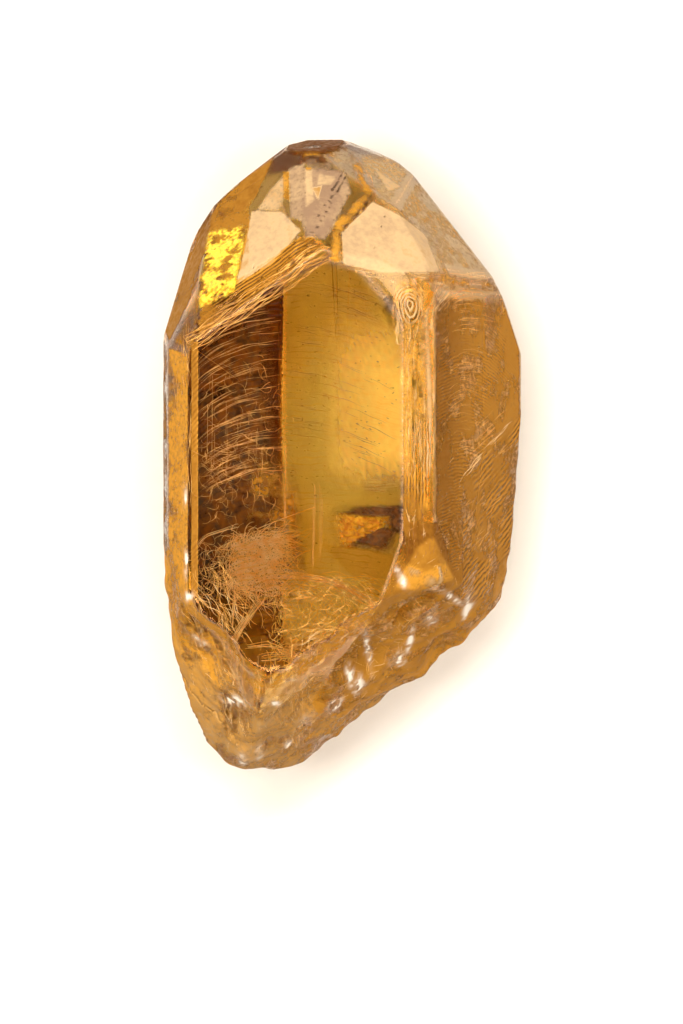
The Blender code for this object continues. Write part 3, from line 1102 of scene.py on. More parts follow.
    def all(self, points: Array) -> dict[str, Array]:
        """Every mark by name.

        Args:
            points: places in millimetres.

        Returns:
            The marks' values at each place, by name.
        """
        phase, strength = self.lines(points)
        broken = self.broken(points)
        haze = self.haze(points, broken)
        satin = self.near_face(points, tuple(POINT_FACES), 0.4)
        deep = 0.35 + 0.65 * smooth_step(0.4, 4.0, HALF_THICKNESS - points[:, 2])
        cloud = np.clip((mottle(points, 1.3, 1, 4) - 0.5) * 2.2 + 0.5, 0, 1)
        frost = np.clip(np.maximum.reduce([broken * deep, 0.30 * satin, 0.8 * haze]), 0, 1)
        worn = smooth_step(0.30, 0.62, mottle(points, 1.6, 2))
        bloom_and_painted_light, tone, glint = self.bloom_and_painted_light(points, broken, worn)
        return {
            "line_phase": phase + 0.9 * mottle(points, 1.4, 3),
            "line_strength": strength * (1 - broken) * smooth_step(0.40, 0.62, mottle(points, 1.8, 4)),
            "frost": frost * (0.45 + 0.55 * smooth_step(0.25, 0.60, cloud)),
            "haze": haze * (0.3 + 0.7 * worn),
            "edge": self.edges(points) * (1 - broken),
            # painted reflection: the cover of the flakes film at the top left
            "flakes": inside_outline(points, FLAKE_CORNERS, 0.35) * (points[:, 2] > 0),
            "bloom_and_painted_light": bloom_and_painted_light,
            "tone": tone,
            "glint": glint,
            "amber": np.clip(self.amber(points, broken) * (0.86 + 0.28 * cloud), 0, 1),
            "painted_shade": self.painted_shade(points) * (1 - broken) * (0.7 + 0.3 * cloud),
            "rust_and_shade": self.rust_and_shade(points),
        }


class Nodes:
    """A material's or a group's nodes, added and joined by short calls."""

    def __init__(self, tree: bpy.types.NodeTree) -> None:
        """Keeps the tree to build in."""
        self.tree = tree

    def add(self, kind: str, settings: dict | None = None, **inputs: object) -> bpy.types.Node:
        """Adds a node, sets its options, and sets or joins its inputs.

        Args:
            kind: the node's type without its ShaderNode prefix.
            settings: options of the node by name.
            inputs: values or sockets by the input's name, with _ for a space, or by n and its number.

        Returns:
            The node.
        """
        node = self.tree.nodes.new("ShaderNode" + kind)
        for name, value in (settings or {}).items():
            setattr(node, name, value)
        for name, value in inputs.items():
            is_number = name[0] == "n" and name[1:].isdigit()
            socket = node.inputs[int(name[1:])] if is_number else node.inputs[name.replace("_", " ")]
            self.put(socket, value)
        return node

    def put(self, socket: bpy.types.NodeSocket, value: object) -> None:
        """Joins a socket to another one, or sets its value."""
        if isinstance(value, bpy.types.NodeSocket):
            self.tree.links.new(value, socket)
        else:
            socket.default_value = value

    def math(
        self, operation: str, first: object, second: object = 0.0, third: object = 0.0
    ) -> bpy.types.NodeSocket:
        """A Math node's result."""
        node = self.add("Math", {"operation": operation}, n0=first, n1=second)
        if operation in ("MULTIPLY_ADD", "SMOOTH_MIN", "SMOOTH_MAX"):
            self.put(node.inputs[2], third)
        return node.outputs[0]

    def ramp(
        self, value: object, low: object, high: object, out_low: float = 0.0, out_high: float = 1.0
    ) -> bpy.types.NodeSocket:
        """A value carried smoothly from one range to another."""
        node = self.add(
            "MapRange", {"interpolation_type": "SMOOTHSTEP"}, n0=value, n1=low, n2=high, n3=out_low,
            n4=out_high
        )
        return node.outputs[0]

    def blend(self, share: object, first: object, second: object) -> bpy.types.NodeSocket:
        """Two colours mixed by a share.

        Args:
            share: how much of the second colour.
            first: the first colour.
            second: the second.

        Returns:
            The mixed colour's socket.
        """
        node = self.tree.nodes.new("ShaderNodeMix")
        node.data_type = "RGBA"
        for number, value in ((0, share), (6, first), (7, second)):
            self.put(node.inputs[number], value)
        return node.outputs[2]

    def shades(
        self, value: object, stops: tuple[tuple[float, tuple[float, ...]], ...]
    ) -> bpy.types.NodeSocket:
        """A colour picked along a row of stops, each a place from 0 to 1 and a colour.

        Args:
            value: where along the row the colour is picked.
            stops: the places and colours.

        Returns:
            The colour's socket.
        """
        node = self.add("ValToRGB", None, Fac=value)
        row = node.color_ramp.elements
        while len(row) < len(stops):
            row.new(0.5)
        for element, (place, colour) in zip(row, stops):
            element.position = place
            element.color = colour
        return node.outputs[0]

    def mark(self, name: str) -> bpy.types.NodeSocket:
        """The number that the skin carries under a name."""
        return self.add("Attribute", {"attribute_name": name}).outputs["Fac"]

    def millimetres(self) -> bpy.types.NodeSocket:
        """The object's own coordinates in millimetres."""
        place = self.add("TexCoord").outputs["Object"]
        return self.add("VectorMath", {"operation": "SCALE"}, n0=place, Scale=1000.0).outputs[0]

    def mottle(self, place: object, size: float, low: float, high: float) -> bpy.types.NodeSocket:
        """The shared uneven mask over places, from 0 where its noise is under low to 1 over high.

        Args:
            place: the places.
            size: the noise's size.
            low: the level of 0.
            high: the level of 1.

        Returns:
            The mask's socket.
        """
        node = self.tree.nodes.new("ShaderNodeGroup")
        node.node_tree = mottling()
        for name, value in (("Place", place), ("Size", size), ("Low", low), ("High", high)):
            self.put(node.inputs[name], value)
        return node.outputs["Mask"]

    def noise(
        self, place: object, scale: object, detail: float = 2.0, rough: float = 0.5, bend: float = 0.0
    ) -> bpy.types.NodeSocket:
        """A noise's value over places."""
        node = self.add(
            "TexNoise", None, Vector=place, Scale=scale, Detail=detail, Roughness=rough, Distortion=bend
        )
        return node.outputs["Fac"]


def new_material(name: str) -> tuple[bpy.types.Material, Nodes, bpy.types.Node]:
    """A new material, the builder of its nodes, and its Principled shader."""
    material = bpy.data.materials.new(name)
    material.use_nodes = True
    return material, Nodes(material.node_tree), material.node_tree.nodes["Principled BSDF"]


def mottling() -> bpy.types.NodeTree:
    """The node group that every finish takes its uneven masks from, made at its first use.

    Its mask is a noise of the given size, carried from its low to its high level to the range 0 to 1.

    Returns:
        The group.
    """
    name = "mottling"
    if name in bpy.data.node_groups:
        return bpy.data.node_groups[name]
    group = bpy.data.node_groups.new(name, "ShaderNodeTree")
    group.interface.new_socket("Place", in_out="INPUT", socket_type="NodeSocketVector")
    for socket in ("Size", "Low", "High"):
        group.interface.new_socket(socket, in_out="INPUT", socket_type="NodeSocketFloat")
    group.interface.new_socket("Mask", in_out="OUTPUT", socket_type="NodeSocketFloat")
    nodes = Nodes(group)
    given = group.nodes.new("NodeGroupInput").outputs
    scale = nodes.math("DIVIDE", 1.0, given["Size"])
    uneven = nodes.noise(given["Place"], scale, 2.5, 0.62)
    shown = group.nodes.new("NodeGroupOutput")
    nodes.put(shown.inputs["Mask"], nodes.ramp(uneven, given["Low"], given["High"]))
    return group


@dataclass(frozen=True)
class CrystalFinish:
    """Golden apatite: clear glassy stone whose yellow deepens with thickness."""

    name: str = "golden_apatite"
    index: float = 1.63
    kept_light: Triple = (0.995, 0.80, 0.32)
    kept_over: float = 23.0
    polish: float = 0.025
    frost: float = 0.55
    coat_tint: Colour = (1.0, 0.80, 0.52, 1.0)
    gloss_tint: Colour = (0.80, 0.42, 0.16, 1.0)
    coat_index: float = 1.9
    coat_roughness: float = 0.34
    amber_row: tuple[tuple[float, tuple[float, ...]], ...] = (
        (0.0, (1.0, 0.985, 0.96, 1.0)),
        (0.33, (0.90, 0.64, 0.28, 1.0)),
        (0.66, (0.52, 0.25, 0.035, 1.0)),
        (1.0, (0.16, 0.055, 0.003, 1.0)),
    )
    # painted shade: the grey-violet that dims the faces of the point
    painted_shade: Colour = (0.10, 0.085, 0.10, 1.0)
    # brown stain, also used for the painted shadows on the faces of the point
    rust_and_shade: Colour = (0.07, 0.018, 0.004, 1.0)
    # painted shade along the troughs of the growth lines
    trough_shade_depth: float = 0.30
    line_height: float = 0.005

    def absorption(self) -> tuple[float, Colour]:
        """The density and colour whose light kept over a length is the one asked for.

        Light kept falls as e to the minus loss times length; the loss is the density times what the
        colour lacks of white.

        Returns:
            The density per metre, and the colour.
        """
        losses = [-math.log(kept) / (self.kept_over * MM) for kept in self.kept_light]
        density = max(losses) * 1.02
        return density, (*(1 - loss / density for loss in losses), 1.0)

    def build(self) -> bpy.types.Material:
        """Makes the material."""
        material, nodes, shader = new_material(self.name)
        density, colour = self.absorption()
        shader.inputs["Transmission Weight"].default_value = 1.0
        shader.inputs["IOR"].default_value = self.index
        shader.inputs["Specular Tint"].default_value = self.gloss_tint
        shader.inputs["Coat Roughness"].default_value = self.coat_roughness
        shader.inputs["Coat IOR"].default_value = self.coat_index
        shader.inputs["Coat Tint"].default_value = self.coat_tint
        volume = nodes.add("VolumeAbsorption", None, Color=colour, Density=density)
        nodes.put(material.node_tree.nodes["Material Output"].inputs["Volume"], volume.outputs[0])

        place = nodes.millimetres()
        grain = nodes.mottle(place, 0.20, 0.25, 0.75)
        worn = nodes.math("MULTIPLY", nodes.mark("edge"), grain)
        dull = nodes.math("MAXIMUM", nodes.mark("frost"), nodes.math("MULTIPLY", worn, 0.8))
        nodes.put(
            shader.inputs["Roughness"],
            nodes.math("MULTIPLY_ADD", dull, self.frost - self.polish, self.polish)
        )
        wave = nodes.math("SINE", nodes.math("MULTIPLY", nodes.mark("line_phase"), 2 * math.pi))
        shown = nodes.mark("line_strength")
        crest = nodes.math("MULTIPLY", nodes.ramp(wave, 0.72, 0.98), shown)
        # painted shade: the growth lines' troughs deepen the stone's orange
        trough = nodes.math("MULTIPLY", nodes.ramp(wave, -0.55, -0.98), shown)
        sheen = nodes.math(
            "MAXIMUM", nodes.mark("haze"), nodes.math("MAXIMUM", worn, nodes.math("MULTIPLY", crest, 0.15))
        )
        nodes.put(shader.inputs["Coat Weight"], sheen)

        golden = nodes.math("MULTIPLY_ADD", trough, self.trough_shade_depth, nodes.mark("amber"))
        # brown stain, with painted shadows on the faces of the point
        brown = nodes.math("MULTIPLY", nodes.mark("rust_and_shade"), nodes.ramp(grain, 0.1, 0.8))
        long = nodes.add("Mapping", None, Vector=place, Scale=(1.0, 2.2, 1.0)).outputs[0]
        speck = nodes.math("MULTIPLY", nodes.mottle(long, 0.62, 0.665, 0.705), 0.8)
        # painted shade: the faces of the point are dimmed towards grey-violet
        tint = nodes.blend(nodes.mark("painted_shade"), nodes.shades(golden, self.amber_row), self.painted_shade)
        nodes.put(
            shader.inputs["Base Color"], nodes.blend(nodes.math("MAXIMUM", brown, speck), tint, self.rust_and_shade)
        )

        height = nodes.math("MULTIPLY", wave, shown)
        bump = nodes.add("Bump", None, Height=height, Distance=self.line_height * MM, Strength=0.75)
        nodes.put(shader.inputs["Normal"], bump.outputs[0])
        return material


@dataclass(frozen=True)
class BloomAndPaintedLightFinish:
    """The dull bloom on the skin, with painted reflections, painted shade and painted highlights: a broken
    film whose tone runs from mauve over cream and honey to brown.
    """

    name: str = "skin_film_and_painted_light"
    tones: tuple[tuple[float, tuple[float, ...]], ...] = (
        (0.0, (0.31, 0.20, 0.125, 1.0)),
        (0.22, (0.62, 0.44, 0.24, 1.0)),
        (0.36, (0.45, 0.25, 0.075, 1.0)),
        (0.52, (0.62, 0.30, 0.038, 1.0)),
        (1.0, (0.10, 0.026, 0.003, 1.0)),
    )
    # painted highlights: the white that the glints paint into the film
    white: Colour = (0.98, 0.95, 0.88, 1.0)
    gloss: float = 0.03
    roughness: float = 0.55

    def build(self) -> bpy.types.Material:
        """Makes the material."""
        material, nodes, shader = new_material(self.name)
        shader.inputs["Specular IOR Level"].default_value = self.gloss
        place = nodes.millimetres()
        wave = nodes.math("SINE", nodes.math("MULTIPLY", nodes.mark("line_phase"), 2 * math.pi))
        lined = nodes.math("MULTIPLY", nodes.math("MULTIPLY", wave, nodes.mark("line_strength")), 0.22)
        grain = nodes.mottle(place, 0.42, 0.22, 0.78)
        shift = nodes.math("MULTIPLY_ADD", nodes.math("SUBTRACT", grain, 0.5), 0.30, lined)
        cover = nodes.math("ADD", nodes.mark("bloom_and_painted_light"), shift)
        nodes.put(shader.inputs["Alpha"], nodes.ramp(cover, 0.26, 0.82, 0.0, 0.94))
        shade = nodes.math("MULTIPLY_ADD", nodes.math("SUBTRACT", grain, 0.5), 0.09, nodes.mark("tone"))
        shade = nodes.math("SUBTRACT", shade, nodes.math("MULTIPLY", lined, 0.5))
        nodes.put(
            shader.inputs["Base Color"],
            nodes.blend(nodes.mark("glint"), nodes.shades(shade, self.tones), self.white)
        )
        nodes.put(
            shader.inputs["Roughness"],
            nodes.ramp(grain, 0.0, 1.0, self.roughness - 0.2, self.roughness + 0.2)
        )
        bump = nodes.add("Bump", None, Height=lined, Distance=0.00003, Strength=0.8)
        nodes.put(shader.inputs["Normal"], bump.outputs[0])
        return material


class BloomAndPaintedLightSide(Enum):
    """The two films of bloom and painted light, by the names of their pieces."""

    FRONT = "skin_film_and_painted_light"
    BACK = "back_film_and_painted_light"


@dataclass
class GoldenCrystal:
    """The crystal in one piece, the films of bloom and painted light on parts of its skin, and the flakes
    whose film paints an inner reflection.
    """

    name: str = "golden_crystal"
    flakes_name: str = "golden_flakes_and_painted_reflection"
    film_parting: float = 3.2
    crease_angle: float = 15.0
    film_lift: float = 0.006
    flake_lift: float = 0.018
    film_thickness: float = 0.008
    least_film: float = 0.10
    form: CrystalForm = field(default_factory=CrystalForm)
    finish: CrystalFinish = field(default_factory=CrystalFinish)
    bloom_and_painted_light: BloomAndPaintedLightFinish = field(default_factory=BloomAndPaintedLightFinish)

    def build(self) -> list[bpy.types.Object]:
        """Makes the crystal's mesh and the films on it, and dresses them.

        The bloom and painted light are two films that meet on the crystal's sides, so that neither has too
        many triangles.

        Returns:
            The crystal, the two films of bloom and painted light, and the flakes.
        """
        skin = CrystalSkin(self.form)
        points, rows, columns = skin.points()
        triangles = skin.triangles(points, rows, columns)
        marking = SkinMarks(self.form)
        marks = marking.all(points)
        points = points + self.form.outward(points) * marking.relief(points)[:, None]
        crystal = add_piece(self.name, points, triangles, self.finish.build(), marks)
        crystal.data.set_sharp_from_angle(angle=math.radians(self.crease_angle))
        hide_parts(NODE)
        normals = point_normals(points, triangles)
        filmed = marks["bloom_and_painted_light"][triangles].max(axis=1) > self.least_film
        fore = points[triangles, 2].mean(axis=1) > self.film_parting
        parts = {BloomAndPaintedLightSide.FRONT: filmed & fore, BloomAndPaintedLightSide.BACK: filmed & ~fore}
        # the film of bloom and painted light
        haze = self.bloom_and_painted_light.build()
        films = [
            self.add_film(side.value, points, normals, triangles[part], marks, self.film_lift, haze)
            for side, part in parts.items()
        ]
        # the flakes film paints an inner reflection at the top left
        marks["cover"] = marks["flakes"]
        flaked = triangles[marks["flakes"][triangles].max(axis=1) > self.least_film]
        flakes = self.add_film(
            self.flakes_name, points, normals, flaked, marks, self.flake_lift, GOLD_FLAKES_AND_PAINTED_REFLECTION.build()
        )
        return [crystal, *films, flakes]

    def add_film(
        self, name: str, points: Array, normals: Array, kept: Array, marks: dict[str, Array], lift: float,
        material: bpy.types.Material,
    ) -> bpy.types.Object:
        """Lifts some of the skin's triangles off it as a thin closed film.

        The film's outer side is the skin moved out along its point normals, its inner side the same
        less the thickness, and a wall joins the two wherever a triangle has no neighbour.

        Args:
            name: the film's name.
            points: the skin's points.
            normals: the skin's directions at its points.
            kept: the triangles that the film lies on.
            marks: the skin's marks.
            lift: how far its inner side stands off the skin, in millimetres.
            material: its finish.

        Returns:
            The film's object.
        """
        used, inverse = np.unique(kept, return_inverse=True)
        outer = inverse.reshape(-1, 3)
        count = len(used)
        inner = outer[:, ::-1] + count
        edges = np.concatenate([outer[:, [0, 1]], outer[:, [1, 2]], outer[:, [2, 0]]])
        keys = edges[:, 0].astype(np.int64) * count + edges[:, 1]
        back_keys = edges[:, 1].astype(np.int64) * count + edges[:, 0]
        rim = edges[~np.isin(keys, back_keys)]
        walls = [
            np.stack([rim[:, 1], rim[:, 0], rim[:, 0] + count], axis=1),
            np.stack([rim[:, 1], rim[:, 0] + count, rim[:, 1] + count], axis=1),
        ]
        lower = points[used] + normals[used] * lift
        sheet = np.concatenate([lower + normals[used] * self.film_thickness, lower])
        carried = {mark: np.tile(values[used], 2) for mark, values in marks.items() if mark in FILM_MARKS}
        return add_piece(name, sheet, np.concatenate([outer, inner, *walls]), material, carried)


def point_normals(points: Array, triangles: Array) -> Array:
    """The directions out of a surface: at each point the sum of its triangles' edge products, at length 1.

    Args:
        points: the surface's points.
        triangles: rows of three point numbers.

    Returns:
        One unit vector a point.
    """
    corners = points[triangles]
    crossed = np.cross(corners[:, 1] - corners[:, 0], corners[:, 2] - corners[:, 0])
    normals = np.zeros_like(points)
    for corner in range(3):
        np.add.at(normals, triangles[:, corner], crossed)
    return normals / np.linalg.norm(normals, axis=1, keepdims=True)


def to_frame(points: Array) -> Array:
    """Carries places from the crystal's own centre in millimetres to the frame in metres."""
    return (points + (BOX_LOW + BOX_HIGH) / 2) * MM


def add_piece(
    name: str, points: Array, triangles: Array, material: bpy.types.Material,
    marks: dict[str, Array] | None = None,
) -> bpy.types.Object:
    """Puts a surface into the scene as a piece that rides on the crystal's body.

    Args:
        name: the piece's name.
        points: its points in millimetres from the crystal's centre.
        triangles: rows of three point numbers, facing outwards.
        material: its finish.
        marks: numbers that its points carry, by name.

    Returns:
        The piece's object.
    """
    mesh = bpy.data.meshes.new(name)
    mesh.vertices.add(len(points))
    mesh.vertices.foreach_set("co", to_frame(points).ravel())
    mesh.loops.add(triangles.size)
    mesh.loops.foreach_set("vertex_index", triangles.ravel().astype(np.int32))
    mesh.polygons.add(len(triangles))
    mesh.polygons.foreach_set("loop_start", np.arange(0, triangles.size, 3, dtype=np.int32))
    mesh.update(calc_edges=True)
    mesh.validate()
    mesh.polygons.foreach_set("use_smooth", np.ones(len(triangles), dtype=bool))
    for mark, values in (marks or {}).items():
        layer = mesh.attributes.new(mark, "FLOAT", "POINT")
        layer.data.foreach_set("value", values.astype(np.float32))
    mesh.materials.append(material)
    piece = bpy.data.objects.new(name, mesh)
    bpy.context.scene.collection.objects.link(piece)
    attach(piece, BODY)
    return piece


@dataclass(frozen=True)
class FibreFinish:
    """Fine hair-like growths: a satin colour that shifts along the hair."""

    name: str
    pale: Colour
    deep: Colour
    roughness: float = 0.45

    def build(self) -> bpy.types.Material:
        """Makes the material."""
        material, nodes, shader = new_material(self.name)
        place = nodes.millimetres()
        share = nodes.mottle(place, 0.7, 0.35, 0.65)
        nodes.put(shader.inputs["Base Color"], nodes.blend(share, self.pale, self.deep))
        shine = nodes.ramp(share, 0.0, 1.0, self.roughness + 0.15, self.roughness - 0.12)
        nodes.put(shader.inputs["Roughness"], shine)
        return material


def tubes(paths: Array, radii: Array, sides: int = 4) -> tuple[Array, Array]:
    """Thin closed tubes along paths: a ring of points round each place, and a point at each end.

    A ring's point is the place plus the radius times the cosine of its angle along the sideways
    direction plus the sine of it along the third direction; both ends close in a tip.

    Args:
        paths: the tubes' places, one row a tube, in millimetres.
        radii: the radius at each place.
        sides: how many points a ring has.

    Returns:
        The tubes' points and triangles.
    """
    tubes_count, places, _ = paths.shape
    tangents = np.gradient(paths, axis=1)
    tangents /= np.linalg.norm(tangents, axis=2, keepdims=True)
    sideways = np.cross(tangents, np.array([0.05, 0.03, 1.0]))
    sideways /= np.linalg.norm(sideways, axis=2, keepdims=True)
    third = np.cross(tangents, sideways)
    angles = np.arange(sides) / sides * 2 * math.pi
    ring = np.cos(angles)[:, None] * sideways[:, :, None, :] + np.sin(angles)[:, None] * third[:, :, None, :]
    points = paths[:, :, None, :] + radii[:, :, None, None] * ring
    low_tip = paths[:, 0] - tangents[:, 0] * radii[:, :1]
    high_tip = paths[:, -1] + tangents[:, -1] * radii[:, -1:]
    one = np.concatenate([points.reshape(tubes_count, -1, 3), low_tip[:, None], high_tip[:, None]], axis=1)
    grid = np.arange(places * sides).reshape(places, sides)
    beside = np.roll(grid, -1, axis=1)
    low, high = places * sides, places * sides + 1
    parts = [
        np.stack([grid[:-1], beside[:-1], beside[1:]], axis=-1).reshape(-1, 3),
        np.stack([grid[:-1], beside[1:], grid[1:]], axis=-1).reshape(-1, 3),
        np.stack([np.full(sides, low), beside[0], grid[0]], axis=-1),
        np.stack([np.full(sides, high), grid[-1], beside[-1]], axis=-1),
    ]
    pattern = np.concatenate(parts)
    triangles = pattern[None] + (np.arange(tubes_count) * (places * sides + 2))[:, None, None]
    return one.reshape(-1, 3), triangles.reshape(-1, 3)


@dataclass(frozen=True)
class Curls:
    """A patch of loose curly hairs: where they start, which way they run and how they bend.

    Lengths are in millimetres and angles in degrees; the heading turns from +x towards +y.
    """

    count: int
    low: Triple
    high: Triple
    length: Pair
    heading: float
    spread: float
    curl: float
    radius: Pair
    seed: int

    def paths(self, places: int = 12) -> Hairs:
        """Walks each hair forward with a heading that swings like a sine along its length.

        Args:
            places: how many places each hair has.

        Returns:
            The hairs' places, and the radius at each.
        """
        rng = np.random.default_rng(self.seed)
        start = rng.uniform(self.low, self.high, (self.count, 3))
        length = rng.uniform(*self.length, (self.count, 1))
        heading = np.radians(rng.normal(self.heading, self.spread, (self.count, 1)))
        swing = np.radians(self.curl) * rng.uniform(0.4, 1.0, (self.count, 1))
        turn = rng.uniform(0.8, 2.4, (self.count, 1))
        offset = rng.uniform(0, 2 * math.pi, (self.count, 1))
        along = np.linspace(0, 1, places)[None, :] * length
        bend = heading + swing * np.sin(turn * along + offset)
        step = length / (places - 1)
        x = start[:, :1] + np.cumsum(np.cos(bend) * step, axis=1)
        y = start[:, 1:2] + np.cumsum(np.sin(bend) * step, axis=1)
        z = start[:, 2:] + 0.15 * np.sin(1.7 * turn * along + 2 * offset)
        radius = rng.uniform(*self.radius, (self.count, 1)) * (
            1 - 0.7 * np.linspace(0, 1, places)[None, :] ** 2
        )
        return np.stack([x, y, z], axis=-1), radius


def strands(path: tuple[Triple, ...], count: int, spread: float, radius: float, seed: int,
            places: int = 14) -> Hairs:
    """A few hairs side by side along one path: straight stretches smoothed, each hair set off a little.

    Args:
        path: the path's places.
        count: how many hairs there are.
        spread: how far they stand apart at most.
        radius: their greatest radius.
        seed: the seed of their chance offsets.
        places: how many places each hair has.

    Returns:
        The hairs' places, and the radius at each.
    """
    rng = np.random.default_rng(seed)
    corners = np.array(path, dtype=float)
    knots = np.linspace(0, 1, len(corners))
    steps = np.linspace(0, 1, places)
    line = np.stack([np.interp(steps, knots, corners[:, axis]) for axis in range(3)], axis=-1)
    padded = np.concatenate([line[:1], line, line[-1:]])
    smooth = (padded[:-2] + 2 * padded[1:-1] + padded[2:]) / 4
    offsets = rng.normal(0, spread / 2, (count, 1, 3)) * np.array([1, 1, 0.4])
    waves = spread * 0.3 * np.sin(
        rng.uniform(3, 9, (count, 1, 3)) * steps[None, :, None] + rng.uniform(0, 6, (count, 1, 3))
    )
    radii = radius * rng.uniform(0.5, 1.0, (count, 1)) * (
        0.35 + 0.65 * np.sin(math.pi * (0.1 + 0.8 * steps))[None, :]
    )
    return smooth[None] + offsets + waves, radii


def front_arch_level(x: Array) -> Array:
    """How far a growth arch on the front hangs under its level.

    It is an ellipse to the left and a shallow bow, as the square of the way, to the right.
    """
    left = np.clip((-4.4 - x) / 8.2, 0, 0.98)
    right = np.clip(x + 2.5, 0, None)
    return 5.2 * (1 - np.sqrt(1 - left**2)) + 0.022 * right**2


@dataclass
class SkinThreads:
    """Fine raised growth lines that lie on the skin wherever it faces up.

    Each is laid out in x and y, then lifted to the skin that stands over it.
    """

    form: CrystalForm
    places: int = 13
    lift: float = 0.003
    cover: float = 0.10
    depths: tuple[float, ...] = (6.0, 3.0, 0.0, -3.0, -6.0)
    cast_reach: float = 18.0
    cast_rounds: int = 16
    least_depth: float = 0.05
    rings: int = 60

    def tops(self, x: Array, y: Array) -> Hairs:
        """Finds the skin over places, and which lines have it over their whole length.

        Args:
            x: the lines' places across, one row a line.
            y: the lines' places along.

        Returns:
            The places on the skin, and whether each line has stone under all of it.
        """
        starts = np.stack([x.ravel(), y.ravel(), 0 * x.ravel()], axis=1)
        levels = [self.form.outside(starts + [0, 0, depth]) for depth in self.depths]
        starts[:, 2] = np.array(self.depths)[np.argmin(levels, axis=0)]
        upwards = np.broadcast_to([0.0, 0.0, 1.0], starts.shape)
        tops = self.form.cast(starts, upwards, self.cast_reach, self.cast_rounds)
        met = (np.min(levels, axis=0) < -self.least_depth) & (np.abs(self.form.outside(tops)) < 0.02)
        return tops.reshape(*x.shape, 3), met.reshape(x.shape).all(axis=1)

    def sink(self, group: Hairs) -> Hairs:
        """Lowers hairs to just under the skin where they would leave the stone, and drops the rest.

        Args:
            group: the hairs' places and radii.

        Returns:
            The places and radii of the hairs that stay.
        """
        paths, radii = group
        tops, inside = self.tops(paths[..., 0], paths[..., 1])
        lowered = paths.copy()
        lowered[..., 2] = np.minimum(paths[..., 2], tops[..., 2] - self.cover)
        return lowered[inside], np.broadcast_to(radii, paths.shape[:2])[inside]

    def lay(self, x: Array, y: Array, radii: Array) -> Hairs:
        """Lifts lines to the skin, and leaves out the ones that run off the crystal.

        Args:
            x: the lines' places across, one row a line.
            y: the lines' places along.
            radii: each line's greatest radius.

        Returns:
            The lines' places, and the radius at each.
        """
        paths, inside = self.tops(x, y)
        paths[..., 2] += self.lift
        swell = np.sin(math.pi * (0.06 + 0.88 * np.linspace(0, 1, x.shape[1])))[None, :]
        return paths[inside], (radii[:, None] * swell)[inside]

    def span(self, low: Array, high: Array) -> Array:
        """Even steps from each low value to its high one."""
        return low[:, None] + (high - low)[:, None] * np.linspace(0, 1, self.places)[None, :]

    def side_arches(self, count: int, seed: int, near: Pair, reach: float) -> Hairs:
        """Arches on the right face: steep on the left of their crest, and drooping to its right.

        Args:
            count: how many arches.
            seed: the seed of their chance places.
            near: the lowest and highest level of their crests.
            reach: how far to the right they run at most.

        Returns:
            Their places and radii.
        """
        rng = np.random.default_rng(seed)
        level = rng.uniform(*near, count)
        crest = 9.9 + rng.normal(0, 0.25, count)
        start = rng.uniform(7.7, 9.0, count)
        end = np.minimum(start + rng.uniform(0.8, reach, count), 13.6)
        x = self.span(start, end)
        flat = smooth_step(4.0, 12.5, level)[:, None]
        left = np.clip(crest[:, None] - x, 0, None)
        right = np.clip(x - crest[:, None], 0, None)
        y = level[:, None] - (0.42 - 0.14 * flat) * left**2 - (0.26 - 0.20 * flat) * right**1.8
        y = y + 0.03 * np.sin(5 * x + 9 * level[:, None])
        return self.lay(x, y, rng.uniform(0.008, 0.022, count))

    def streaks(
        self, count: int, seed: int, low: Pair, high: Pair, heading: Pair,
        length: Pair, wave: float, radius: Pair,
    ) -> Hairs:
        """Nearly straight lines scattered over a box, waving a little to their side.

        Args:
            count: how many lines.
            seed: the seed of their chance places.
            low: the box's lowest corner.
            high: the box's highest corner.
            heading: their mean direction in degrees from +x towards +y, and its spread.
            length: their shortest and longest length.
            wave: how far they wave to the side.
            radius: their least and greatest radius.

        Returns:
            Their places and radii.
        """
        rng = np.random.default_rng(seed)
        start = rng.uniform(low, high, (count, 2))
        turn = np.radians(rng.normal(*heading, count))[:, None]
        along = rng.uniform(*length, count)[:, None] * np.linspace(0, 1, self.places)[None, :]
        side = wave * np.sin(along * rng.uniform(1.5, 4.0, (count, 1)) + rng.uniform(0, 6, (count, 1)))
        x = start[:, :1] + along * np.cos(turn) - side * np.sin(turn)
        y = start[:, 1:] + along * np.sin(turn) + side * np.cos(turn)
        return self.lay(x, y, rng.uniform(*radius, count))

    def front_droops(self, count: int, seed: int) -> Hairs:
        """Lines on the front's right half that droop to the right, as the arches' far ends do.

        Args:
            count: how many lines.
            seed: the seed of their chance places.

        Returns:
            Their places and radii.
        """
        rng = np.random.default_rng(seed)
        level = rng.uniform(1.0, 14.2, count)
        start = rng.uniform(-4.6, 2.0, count)
        x = self.span(start, np.minimum(start + rng.uniform(0.6, 4.0, count), 4.3))
        y = level[:, None] - 0.030 * (x + 5.2) ** 2 + 0.04 * np.sin(3 * x + 5 * level[:, None])
        return self.lay(x, y, rng.uniform(0.008, 0.020, count))

